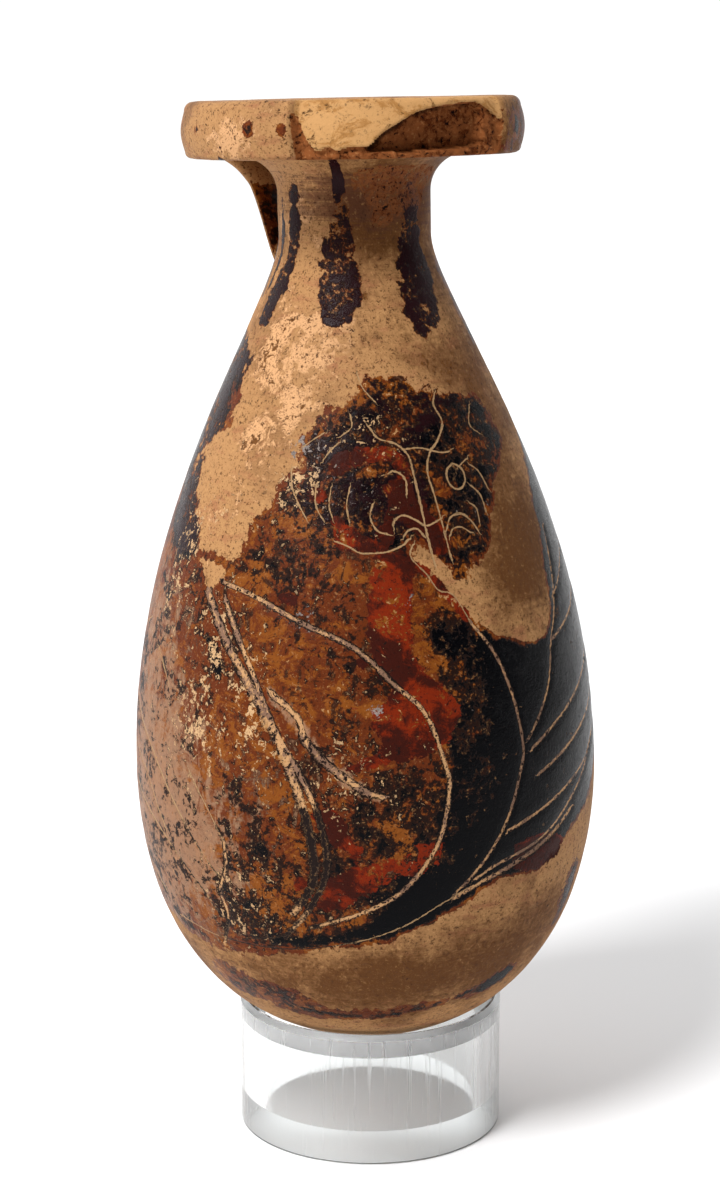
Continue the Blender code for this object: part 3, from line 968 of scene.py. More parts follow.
class SurfacePlan:
    """Measures distances on the flask from the plan's lines and patches to the mesh's points.

    Attributes:
        WANDER_MM: Size of the waves in which ragged edges wander.
        REACH_MM: How far past its edge a mark is measured.
        LINE_REACH_MM: How far from a scored line its distance is measured.
        STEEP_MM: Distance from a scored line past which its value grows steeply.
        STEEPNESS: How many times faster it grows there.
        FAR: Value of a point that no line is near.
    """

    WANDER_MM = 3.5
    REACH_MM = 6.0
    LINE_REACH_MM = 4.0
    STEEP_MM = 1.3
    STEEPNESS = 40.0
    FAR = 1e3

    def __init__(self, outline: FlaskOutline, points: np.ndarray) -> None:
        """Read the mesh's points.

        Args:
            outline: Turned outline that the plan lies on.
            points: Array of points in metres, on the flask's own upright axis.
        """
        profile = outline.outside() + [
            (outline.neck_radius, outline.under - outline.neck_fillet),
            (outline.mouth_radius, outline.under + 0.0001),
            (outline.mouth_radius, outline.height),
        ]
        self.radii = np.array([r for r, _ in profile]) / MM
        self.heights = np.array([z for _, z in profile]) / MM
        self.points = points / MM
        self.azimuth = np.degrees(np.arctan2(self.points[:, 0], -self.points[:, 1]))
        self.height = self.points[:, 2]
        spots = (Vector(point) / self.WANDER_MM for point in self.points)
        self.wander = np.array([noise.fractal(spot, 0.6, 2.2, 4) for spot in spots])

    def lift(self, plan: np.ndarray) -> np.ndarray:
        """Lift plan points on to the flask.

        Args:
            plan: Array of plan points.

        Returns:
            Array of points in mm.
        """
        radius = np.interp(plan[:, 1], self.heights, self.radii)
        angle = np.radians(plan[:, 0])
        return np.stack([radius * np.sin(angle), -radius * np.cos(angle), plan[:, 1]], axis=1)

    def from_line(self, plan: np.ndarray, reach: float) -> tuple[np.ndarray, np.ndarray]:
        """Signed distance to a line, positive on its right seen along it from outside.

        Args:
            plan: Line of plan points.
            reach: Distance in mm past which nothing is measured.

        Returns:
            Numbers of the points within reach, and their distances in mm.
        """
        line = self.lift(plan)
        inside = (self.points > line.min(0) - reach) & (self.points < line.max(0) + reach)
        index = np.flatnonzero(np.all(inside, axis=1))
        points = self.points[index]
        outward = points * (1.0, 1.0, 0.0)
        best = np.full(len(index), 1e6)
        side = np.ones(len(index))
        for start, end in zip(line, line[1:]):
            run = end - start
            length = run @ run
            if length < 1e-9:
                continue
            offset = points - start
            share = np.clip(offset @ run / length, 0.0, 1.0)
            gap = np.linalg.norm(offset - share[:, None] * run, axis=1)
            closer = gap < best
            best[closer] = gap[closer]
            turn = np.einsum("ij,ij->i", np.cross(offset, run), outward)
            side[closer] = np.where(turn[closer] >= 0, 1.0, -1.0)
        return index, best * side

    def inside(self, plan: np.ndarray, reach: float) -> tuple[np.ndarray, np.ndarray]:
        """Signed distance to a closed line, positive inside.

        Args:
            plan: Closed line of plan points.
            reach: Distance in mm past which nothing is measured.

        Returns:
            Numbers of the points within reach, and their distances in mm.
        """
        middle = plan[:, 0].mean()
        azimuth = (self.azimuth - middle + 180.0) % 360.0 - 180.0 + middle
        low, high = plan.min(0), plan.max(0)
        narrow = 10.0  # Radius in mm under which no mark lies, so that enough is measured everywhere
        degrees = reach / narrow * 57.3
        near = (
            (azimuth > low[0] - degrees)
            & (azimuth < high[0] + degrees)
            & (self.height > low[1] - reach)
            & (self.height < high[1] + reach)
        )
        index = np.flatnonzero(near)
        line = self.lift(plan)
        points = self.points[index]
        best = np.full(len(index), 1e6)
        crossed = np.zeros(len(index), dtype=bool)
        across, up = azimuth[index], self.height[index]
        for first in range(len(plan) - 1):
            start, end = line[first], line[first + 1]
            run = end - start
            length = max(run @ run, 1e-9)
            offset = points - start
            share = np.clip(offset @ run / length, 0.0, 1.0)
            best = np.minimum(best, np.linalg.norm(offset - share[:, None] * run, axis=1))
            (a0, h0), (a1, h1) = plan[first], plan[first + 1]
            if h0 != h1:
                level = (up >= min(h0, h1)) & (up < max(h0, h1))
                crossed ^= level & (across < a0 + (up - h0) * (a1 - a0) / (h1 - h0))
        return index, np.where(crossed, best, -best)

    def layer(self, marks: tuple[Mark, ...], start: float) -> np.ndarray:
        """Value of one layer at every point.

        Args:
            marks: Patches, brushstrokes and smudges, the lower ones first.
            start: Value where nothing is drawn.

        Returns:
            Array of values.
        """
        value = np.full(len(self.points), start)
        for mark in marks:
            if isinstance(mark, Smudge):
                middle = self.lift(np.array([[mark.azimuth, mark.height]]))[0]
                wrapped = (self.azimuth - mark.azimuth + 180.0) % 360.0 - 180.0
                across = np.radians(wrapped) * math.hypot(middle[0], middle[1])
                wide, tall = across / mark.across, (self.height - mark.height) / mark.along
                value += mark.amount * np.exp(-(wide**2 + tall**2))
                continue
            if isinstance(mark, Patch):
                index, depth = self.inside(rounded(mark.points, True), self.REACH_MM)
            else:
                line = rounded(mark.points, False)
                index, gap = self.from_line(line, mark.width + self.REACH_MM)
                depth = mark.width / 2 - np.abs(gap)
            depth = depth + mark.ragged * self.wander[index]
            cover = ease(-mark.softness / 2, mark.softness / 2, depth)
            value[index] += (mark.amount - value[index]) * cover
        return value

    def lines(self, strokes: Sequence[Stroke], apart: float = 3.2) -> list[np.ndarray]:
        """Signed distances to scored lines, in half widths, so that each line stays crisp.

        Lines that come close to each other go into different arrays. A little way off a line the
        distance grows steeply, so that nothing shows where the nearest line changes.

        Args:
            strokes: The lines.
            apart: Least distance in mm between lines that share an array.

        Returns:
            One array per group of lines.
        """
        groups: list[list[tuple[Stroke, np.ndarray]]] = []
        for stroke in strokes:
            line = self.lift(rounded(stroke.points, False))
            for group in groups:
                gaps = [
                    np.linalg.norm(line[:, None] - other[None], axis=2).min() for _, other in group
                ]
                if min(gaps) > apart:
                    group.append((stroke, line))
                    break
            else:
                groups.append([(stroke, line)])
        arrays = []
        for group in groups:
            gap = np.full(len(self.points), self.FAR)
            unit = np.full(len(self.points), self.FAR)
            for stroke, _ in group:
                index, signed = self.from_line(rounded(stroke.points, False), self.LINE_REACH_MM)
                away = np.abs(signed)
                closer = away < gap[index]
                chosen, near = index[closer], away[closer]
                gap[chosen] = near
                steep = near + self.STEEPNESS * np.maximum(0.0, near - self.STEEP_MM)
                unit[chosen] = np.sign(signed[closer]) * steep / (stroke.width / 2)
            arrays.append(unit)
        return arrays


@dataclass(frozen=True)
class BrokenRim:
    """The mouth's front edge, broken away, with a smooth pale skin over its upper part.

    Attributes:
        start: Azimuth in degrees where the break begins.
        end: Azimuth where it runs out.
        top_depth: Depth in mm at the mouth's top.
        under_depth: Depth in mm at its underside.
        hollow_depth: Depth in mm of the dark hollow on the right.
        root: Radius in mm inside which nothing is broken.
        grain: Depth in mm of the broken clay's grain.
        grain_size: Size in mm of its lumps.
        thinning: Share of the depth that is lost towards the right end.
        wall_degrees: Width of the steep left wall at the mouth's top.
        wall_slant: How much wider the wall is at the underside, in degrees.
        run_out: Degrees over which the break runs out at its right end.
        skin_rise: How far in mm the skin stands above the broken surface.
        bay_start: Azimuth from which the hollow deepens.
        bay_width: Degrees over which it deepens and comes out again.
        skin: Edge of the pale skin.
        hollow: Edge of the hollow.
    """

    start: float = -20.5
    end: float = 61.0
    top_depth: float = 3.2
    under_depth: float = 1.1
    hollow_depth: float = 5.4
    root: float = 22.0
    grain: float = 0.5
    grain_size: float = 1.5
    thinning: float = 0.55
    wall_degrees: float = 1.4
    wall_slant: float = 2.2
    run_out: float = 3.0
    skin_rise: float = 0.35
    bay_start: float = 8.0
    bay_width: float = 42.0
    skin: Plan = (
        (-19.5, 178.4), (-18.2, 174), (-15, 170.4), (-12, 168.8), (-8, 169.5), (-5, 168.7), (-1, 169.4),
        (5.5, 169.4), (10.5, 171.7), (16, 173.2), (21, 174.6), (27, 175.5), (38, 176.3), (47, 176.5),
        (53, 175.6), (57, 174.0), (59, 173.4), (60, 174.6), (60, 178.6), (20, 179.5),
    )
    hollow: Plan = (
        (5, 168.9), (10, 171.4), (16, 173.1), (26, 175.3), (38, 176.0), (46, 176.1), (49.5, 175.4),
        (50, 171), (49, 169), (30, 168.5), (15, 168.4),
    )

    def carve(
        self, outline: FlaskOutline, plan: SurfacePlan, points: np.ndarray
    ) -> dict[Layer, np.ndarray]:
        """Move the mouth's front edge in to the broken surface.

        Args:
            outline: The flask's sizes.
            plan: The surface's plan, for distances.
            points: Array of points in metres, changed in place.

        Returns:
            What the broken surface adds to the GRIT, PALE and SHADE layers.
        """
        under, top = outline.under / MM, outline.height / MM
        radius = np.hypot(points[:, 0], points[:, 1]) / MM
        height = points[:, 2] / MM
        azimuth = plan.azimuth
        level = np.clip((height - under) / (top - under), 0.0, 1.0)
        share = np.clip((azimuth - self.start) / (self.end - self.start), 0.0, 1.0)
        fade = 1.0 - self.thinning * share**2
        wall = self.wall_degrees + self.wall_slant * (1.0 - level)
        ends = ease(0.0, 1.0, (azimuth - self.start) / wall)
        ends = ends * ease(self.end, self.end - self.run_out, azimuth)
        depth = (self.under_depth + (self.top_depth - self.under_depth) * level) * fade * ends
        skin, hollow, lip = (np.zeros(len(points)) for _ in range(3))
        index, inwards = plan.inside(rounded(self.skin, True), plan.REACH_MM)
        skin[index] = ease(-0.3, 0.3, inwards)
        # Band just under the skin's lower edge, where the hollow's painted shade is darkest
        lip[index] = ease(-1.8, -0.2, inwards)
        index, inwards = plan.inside(rounded(self.hollow, True), plan.REACH_MM)
        hollow[index] = ease(-0.35, 0.45, inwards)
        across = np.clip((azimuth - self.bay_start) / self.bay_width, 0, 1)
        reach = self.hollow_depth * (0.75 + 0.25 * np.sin(np.pi * across))
        bare = (1.0 - skin) * ease(0.0, 0.8, depth)
        rough = np.zeros(len(points))
        for number in np.flatnonzero(bare * (height > under - 1.0) > 0.01):
            spot = Vector(points[number]) / (self.grain_size * MM)
            rough[number] = noise.fractal(spot, 0.8, 2.1, 4)
        cut = depth + hollow * np.maximum(0.0, reach - depth) * (1.0 - skin)
        cut += self.grain * (0.8 + rough) * bare - self.skin_rise * skin * ends
        edge = outline.mouth_radius / MM
        squeeze = (edge - np.maximum(cut, 0.0) - self.root) / (edge - self.root)
        mouth = (height > under - 0.05) & (radius > self.root)
        wanted = self.root + (radius - self.root) * squeeze
        scale = np.where(mouth, wanted / np.maximum(radius, 1e-6), 1.0)
        points[:, 0] *= scale
        points[:, 1] *= scale
        on_face = mouth * ease(self.root + 3.0, self.root + 5.0, radius)
        return {
            Layer.GRIT: bare * on_face,
            Layer.PALE: skin * ends * on_face,
            # Painted shade of the hollow under the skin
            Layer.SHADE: hollow * (1.0 - skin) * lip * on_face,
        }


# Finishes


@dataclass(frozen=True)
class Grain:
    """One noise pattern of a finish.

    Attributes:
        size_mm: Size of its features.
        detail: Number of finer octaves.
        roughness: Strength of the finer octaves.
        stretch: How many times longer its features are across, along the view and upwards.
        distortion: How far its features are pulled about.
    """

    size_mm: float
    detail: float = 4.0
    roughness: float = 0.55
    stretch: tuple[float, float, float] = (1.0, 1.0, 1.0)
    distortion: float = 0.0


class Pattern(Enum):
    """Noise patterns of the painted clay, from the widest to the finest.

    SAND stands for the clay's grit of about 0.1 mm, drawn three times as coarse so that it shows.
    """

    CLOUD = Grain(26.0, 3.0)
    BLOTCH = Grain(9.0, 6.0, 0.62, distortion=0.4)
    MOTTLE = Grain(3.6, 10.0, 0.76, (1.25, 1.25, 0.95), 1.2)
    FLAKE = Grain(2.6, 8.0, 0.66, distortion=0.9)
    STREAK = Grain(3.0, 6.0, 0.62, (2.6, 2.6, 0.8))
    WIPE = Grain(2.2, 5.0, 0.6, (0.8, 0.8, 2.2), 0.8)
    CHIP = Grain(1.5, 6.0, 0.72, distortion=1.0)
    SPECK = Grain(0.75, 3.0, 0.6)
    SAND = Grain(0.32, 2.0, 0.6)
    WHEEL = Grain(1.1, 4.0, 0.6, (14.0, 14.0, 0.6))


Terms = tuple[tuple[object, float], ...]


@dataclass(frozen=True)
class Coat:
    """One thing that shows on the surface where a weighted sum of signals is high enough.

    Attributes:
        name: Its own name as a signal for what comes after it.
        terms: Signals and their weights: patterns (about their middle), layers, lines or coats.
        low: Sum at which it begins to show.
        high: Sum at which it covers fully.
        colour: sRGB hex colour.
        within: Name of an earlier coat that it keeps inside.
        strength: Share of the colour under it that it hides at most.
    """

    name: str
    terms: Terms
    low: float
    high: float
    colour: str
    within: str = ""
    strength: float = 1.0


SLIP_TERMS: Terms = (
    (Layer.SLIP, 1.0),
    (Pattern.BLOTCH, 1.1),
    (Pattern.FLAKE, 1.3),
    (Pattern.CHIP, 0.9),
    (Pattern.WIPE, 0.5),
    (Pattern.STREAK, 0.3),
    (Pattern.SPECK, 0.5),
)
COATS = (
    # Bare clay: cloudy buff, with a pale burnished skin left in flakes, sand grain and pores
    Coat("cloud", ((Pattern.CLOUD, 1.0), (Pattern.BLOTCH, 0.8), (Pattern.WHEEL, 0.15)), -0.02, 0.26,
        "#7C5737"),
    Coat("pink", ((Pattern.STREAK, 1.0), (Pattern.MOTTLE, 0.8)), 0.0, 0.26, "#946343"),
    Coat("bright", ((Layer.LIGHT, 1.0), (Pattern.BLOTCH, 1.3), (Pattern.FLAKE, 0.8), (Pattern.CHIP, 0.4)),
        0.3, 0.42, "#C5966A"),
    Coat("stain", ((Layer.STAIN, 1.0), (Pattern.BLOTCH, 1.0), (Pattern.WHEEL, 0.4), (Pattern.CHIP, 0.9)),
        0.1, 0.9, "#5B381A"),
    Coat("sand", ((Pattern.SAND, 1.0), (Pattern.SPECK, 0.8)), 0.02, 0.26, "#70492A"),
    Coat("turned", ((Layer.TURN, 1.0), (Pattern.WHEEL, 2.4), (Pattern.CHIP, 1.0)), 0.6, 0.95, "#4A2A22", "",
        0.5),
    Coat("soil", ((Pattern.CHIP, 1.0), (Pattern.BLOTCH, 0.9), (Pattern.CLOUD, 0.6)), 0.2, 0.26, "#66401F"),
    Coat("pores", ((Pattern.SPECK, 1.0), (Pattern.BLOTCH, 0.4)), 0.21, 0.27, "#2E1A10"),
    # Slip: ochre brown where it is worn thin, black where it is thick
    Coat("painted", SLIP_TERMS, 0.0, 0.05, "#784114"),
    Coat("tan", ((Pattern.CHIP, 1.0), (Pattern.MOTTLE, 0.8), (Layer.RUB_AND_SHEEN, 0.1)), 0.16, 0.22, "#A37342",
        "painted"),
    Coat("rust", ((Pattern.MOTTLE, 1.0), (Pattern.BLOTCH, 0.7)), -0.1, 0.0, "#5A270E", "painted"),
    Coat("brown", ((Pattern.MOTTLE, 1.0), (Pattern.WIPE, 0.8)), 0.04, 0.1, "#351A0D", "painted"),
    Coat("russet", ((Pattern.MOTTLE, -1.0), (Pattern.FLAKE, 1.2)), 0.16, 0.24, "#6B2A10", "painted"),
    # Pale rubbed slip, which on the left side is also a painted sheen
    Coat("rub_and_sheen", ((Layer.RUB_AND_SHEEN, 1.0), (Pattern.MOTTLE, 2.2), (Pattern.WIPE, 1.8)), 0.3, 0.8, "#906C52",
        "painted", 0.8),
    Coat("umber", (*SLIP_TERMS, (Layer.PURPLE, 0.45)), 0.48, 0.6, "#20100A", "painted"),
    Coat("flecks", ((Pattern.CHIP, 1.0), (Pattern.WIPE, 0.8), (Pattern.FLAKE, 0.6)), 0.2, 0.26, "#1C0E0A",
        "painted"),
    Coat("black", (*SLIP_TERMS, (Layer.PURPLE, 0.55)), 0.72, 0.8, "#030305", "painted"),
    Coat("purple", ((Layer.PURPLE, 1.0), (Pattern.MOTTLE, 1.6), (Pattern.CHIP, 0.8)), 0.45, 0.9, "#200B0E",
        "black"),
    # Added red
    Coat("red", ((Layer.RED, 1.0), (Pattern.FLAKE, 1.2), (Pattern.BLOTCH, 1.0), (Pattern.CHIP, 0.9)), 0.49,
        0.53, "#722107"),
    Coat("maroon", ((Pattern.MOTTLE, 0.8), (Pattern.BLOTCH, 1.2)), -0.12, 0.06, "#351008", "red"),
    Coat("cracks", ((Pattern.CHIP, 1.0), (Pattern.FLAKE, 0.8)), 0.12, 0.18, "#1D0E0B", "red"),
    # Clay that shows in specks where everything has flaked off, and greyish lime that in the hair also
    # makes painted highlight glints
    Coat("specks", ((Layer.DUST, 1.0), (Pattern.CHIP, 2.4), (Pattern.WIPE, 1.2), (Pattern.SPECK, 1.6)), 0.8,
        0.86, "#C09A70"),
    Coat("grey_lime_and_glint", ((Layer.LIME_AND_GLINT, 1.0), (Pattern.CHIP, 2.4), (Pattern.SPECK, 1.4)), 0.8, 0.9, "#8A7D76"),
    # Scored lines: a dark ragged edge, pale clay inside, greyish where dirt has filled them
    Coat("burr", ((Line.GROOVE, -1.0), (Pattern.CHIP, 3.0), (Pattern.BLOTCH, 3.0)), -1.6, -1.3, "#150D0B",
        "painted"),
    Coat("groove", ((Line.GROOVE, -1.0), (Pattern.SPECK, 2.6), (Pattern.CHIP, 3.4)), -1.1, -0.75,
        "#B58A60"),
    Coat("filled", ((Pattern.BLOTCH, 1.0), (Pattern.CHIP, 1.2)), -0.05, 0.06, "#7A5C4A", "groove"),
    Coat("sooty", ((Layer.SOOT, 1.0), (Pattern.CHIP, 1.2), (Pattern.BLOTCH, 0.8)), 0.4, 0.55, "#1D1412",
        "groove"),
    Coat("clots", ((Pattern.SPECK, 1.0), (Pattern.CHIP, 1.0)), 0.07, 0.12, "#1F1512", "groove"),
    Coat("score", ((Line.SCORE, -1.0), (Pattern.SPECK, 2.4), (Pattern.CHIP, 3.0), (Pattern.BLOTCH, 1.4)),
        -1.0, -0.6, "#9C7C58"),
    Coat("inked", ((Layer.SOOT, 1.0), (Pattern.CHIP, 1.2), (Pattern.BLOTCH, 0.8)), 0.4, 0.55, "#1D1412",
        "score"),
    # Broken clay of the rim, painted shade in the hollow under the skin's lip, and the pale skin over it
    Coat("broken", ((Layer.GRIT, 1.0), (Pattern.CHIP, 0.8), (Pattern.SPECK, 0.6)), 0.35, 0.62, "#824B27"),
    Coat("crumbs", ((Pattern.CHIP, 1.0), (Pattern.MOTTLE, 0.7)), 0.0, 0.1, "#5E2E12", "broken"),
    Coat("pits", ((Pattern.CHIP, 1.0), (Pattern.SPECK, 0.9)), 0.12, 0.22, "#1F100A", "broken"),
    # Painted shade: dark colour in the hollow, deepest just under the skin's lip
    Coat("hollow", ((Layer.SHADE, 1.0), (Pattern.FLAKE, 0.8)), 0.2, 0.8, "#1B0C06", "", 0.8),
    Coat("skin", ((Layer.PALE, 1.0),), 0.3, 0.7, "#BB8D5A"),
    Coat("rubbed", ((Pattern.MOTTLE, 1.0), (Pattern.STREAK, 0.6)), -0.02, 0.12, "#9E6F3D", "skin"),
    Coat("grime", ((Pattern.CHIP, 1.0), (Pattern.FLAKE, 0.8), (Layer.SOOT, 0.3)), 0.13, 0.22, "#5E3E20",
        "skin"),
    # Fine tooth over everything
    Coat("tooth", ((Pattern.SPECK, 1.0), (Pattern.SAND, 0.8), (Pattern.CHIP, 1.0)), 0.04, 0.36, "#0C0706",
        "", 0.5),
    Coat("glint", ((Pattern.SPECK, -1.0), (Pattern.SAND, -0.8), (Pattern.CHIP, -1.0), ("black", -0.5),
        ("red", -0.5)), 0.1, 0.5, "#D9A66C", "", 0.3),
)


@dataclass(frozen=True)
class PaintedClay:
    """Fired clay, burnished and painted with slip: satin buff, glossy dark slip worn to rust brown.

    Attributes:
        name: Name of the material.
        ground: sRGB hex colour of the clay itself.
        specular: Specular level; burnished clay shines less than glass.
        roughness: Roughness of the bare clay.
        gloss: What makes the surface rougher or smoother.
        relief: What stands up or lies deep, in units of relief_mm.
        relief_mm: One unit of relief.
        relief_strength: How much of it the shading takes.
        lines: Number of distance attributes of each kind of line.
    """

    name: str = "fired_clay_worn_slip"
    ground: str = "#A57A4F"
    specular: float = 0.06
    roughness: float = 0.6
    gloss: Terms = (
        ("painted", -0.2),
        ("black", -0.14),
        ("red", 0.14),
        ("broken", 0.3),
        (Pattern.FLAKE, 0.3),
    )
    relief: Terms = (
        ("painted", 0.4),
        ("black", 0.4),
        ("red", 0.3),
        ("bright", 0.3),
        ("soil", -0.4),
        ("groove", -0.8),
        ("score", -0.8),
        ("crumbs", -0.9),
        ("pits", -1.4),
        ("grime", -0.4),
        (Pattern.SAND, 0.7),
        (Pattern.SPECK, 0.8),
        (Pattern.CHIP, 1.0),
        (Pattern.WHEEL, 0.4),
    )
    relief_mm: float = 0.1
    relief_strength: float = 0.8
    lines: tuple[tuple[Line, int], ...] = ()

    def material(self) -> bpy.types.Material:
        """Build the material.

        Returns:
            Material that reads the mesh's layer and line attributes and Object coordinates.
        """
        material = bpy.data.materials.new(self.name)
        material.use_nodes = True
        tree = material.node_tree
        shader = tree.nodes["Principled BSDF"]
        shader.inputs["Specular IOR Level"].default_value = self.specular
        place = add(tree, "ShaderNodeTexCoord").outputs["Object"]
        signals: dict[object, bpy.types.NodeSocket] = {}
        for pattern in Pattern:
            grain = pattern.value
            scale = [1.0 / (grain.size_mm * MM * stretch) for stretch in grain.stretch]
            sized = add(tree, "ShaderNodeMapping", {"Vector": place, "Scale": scale})
            settings = {
                "Vector": sized.outputs[0],
                "Scale": 1.0,
                "Detail": grain.detail,
                "Roughness": grain.roughness,
                "Distortion": grain.distortion,
            }
            signals[pattern] = add(tree, "ShaderNodeTexNoise", settings).outputs["Fac"]
        for layer in Layer:
            signals[layer] = add(tree, "ShaderNodeAttribute", attribute_name=layer.value).outputs["Fac"]
        for line, count in self.lines:
            nearest: object = SurfacePlan.FAR
            for number in range(count):
                signed = add(tree, "ShaderNodeAttribute", attribute_name=f"{line.value}_{number}")
                away = add(tree, "ShaderNodeMath", {0: signed.outputs["Fac"]}, operation="ABSOLUTE")
                pair = {0: away.outputs[0], 1: nearest}
                nearest = add(tree, "ShaderNodeMath", pair, operation="MINIMUM").outputs[0]
            signals[line] = nearest

        def weigh(terms: Terms, start: float = 0.0) -> bpy.types.NodeSocket:
            """Add up weighted signals, patterns about their middle.

            Args:
                terms: Signals and their weights.
                start: What they are added to.

            Returns:
                Socket that brings the sum.
            """
            middles = sum(gain for signal, gain in terms if isinstance(signal, Pattern)) / 2
            result: object = start - middles
            for signal, gain in terms:
                inputs = {0: signals[signal], 1: gain, 2: result}
                result = add(tree, "ShaderNodeMath", inputs, operation="MULTIPLY_ADD").outputs[0]
            return result

        colour: object = srgb(self.ground)
        for coat in COATS:
            span = {
                "Value": weigh(coat.terms),
                "From Min": coat.low,
                "From Max": coat.high,
                "To Max": coat.strength,
            }
            cover = add(tree, "ShaderNodeMapRange", span, interpolation_type="SMOOTHSTEP").outputs[0]
            if coat.within:
                both = {0: cover, 1: signals[coat.within]}
                cover = add(tree, "ShaderNodeMath", both, operation="MULTIPLY").outputs[0]
            signals[coat.name] = cover
            layers = {0: cover, 6: colour, 7: srgb(coat.colour)}
            colour = add(tree, "ShaderNodeMix", layers, data_type="RGBA").outputs[2]
        tree.links.new(colour, shader.inputs["Base Color"])
        tree.links.new(weigh(self.gloss, self.roughness), shader.inputs["Roughness"])
        raised = {
            "Height": weigh(self.relief),
            "Strength": self.relief_strength,
            "Distance": self.relief_mm * MM,
        }
        tree.links.new(add(tree, "ShaderNodeBump", raised).outputs[0], shader.inputs["Normal"])
        return material


@dataclass(frozen=True)
class ClearAcrylic:
    """Cast acrylic: a polished wall is clear as water, a sawn and sanded bevel is softly frosted.

    Attributes:
        tint: sRGB hex colour of the light that passes.
        ior: Index of refraction of acrylic.
        polished: Roughness of the polished wall.
        frosted: Roughness of the sanded bevels.
        scratched: Roughness in a scratch.
        scratch_mm: Width of the scratches, some ten times the real one so that they show.
        scratch_length_mm: Their length.
        scratch_from: Noise value at which a scratch begins.
        scratch_full: Noise value at which it is deepest.
        relief_mm: Depth of the scratches.
        relief_strength: How much of it the shading takes.
    """

    tint: str = "#FBFDFD"
    ior: float = 1.49
    polished: float = 0.04
    frosted: float = 0.38
    scratched: float = 0.42
    scratch_mm: float = 0.5
    scratch_length_mm: float = 30.0
    scratch_from: float = 0.54
    scratch_full: float = 0.7
    relief_mm: float = 0.02
    relief_strength: float = 0.3

    def material(self, name: str, roughness: float) -> bpy.types.Material:
        """Build the material for one way of finishing the surface.

        Args:
            name: Name of the material.
            roughness: Roughness of its surface.

        Returns:
            Material with plain see-through values and fine upright scratches from handling.
        """
        material = bpy.data.materials.new(name)
        material.use_nodes = True
        tree = material.node_tree
        shader = tree.nodes["Principled BSDF"]
        shader.inputs["Base Color"].default_value = srgb(self.tint)
        shader.inputs["Transmission Weight"].default_value = 1.0
        shader.inputs["IOR"].default_value = self.ior
        place = add(tree, "ShaderNodeTexCoord").outputs["Object"]
        scale = [1.0 / (self.scratch_mm * MM)] * 2 + [1.0 / (self.scratch_length_mm * MM)]
        sized = add(tree, "ShaderNodeMapping", {"Vector": place, "Scale": scale})
        noisy = {"Vector": sized.outputs[0], "Scale": 1.0, "Detail": 3.0, "Roughness": 0.7}
        grain = add(tree, "ShaderNodeTexNoise", noisy).outputs["Fac"]
        span = {
            "Value": grain,
            "From Min": self.scratch_from,
            "From Max": self.scratch_full,
            "To Min": roughness,
            "To Max": self.scratched,
        }
        worn = add(tree, "ShaderNodeMapRange", span).outputs[0]
        tree.links.new(worn, shader.inputs["Roughness"])
        cut = {"Height": grain, "Strength": self.relief_strength, "Distance": self.relief_mm * MM}
        tree.links.new(add(tree, "ShaderNodeBump", cut).outputs[0], shader.inputs["Normal"])
        return material


# Pieces


def finished(name: str, mesh: bpy.types.Mesh, node: str) -> bpy.types.Object:
    """Put a mesh into the scene as a finished piece that stands for one CAD node.

    Args:
        name: Name of the piece.
        mesh: Its mesh, in its final place.
        node: CAD node that it replaces.

    Returns:
        The piece.
    """
    mesh.name = name
    piece = shown(name, mesh)
    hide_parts(node)
    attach(piece, "root")
    return piece


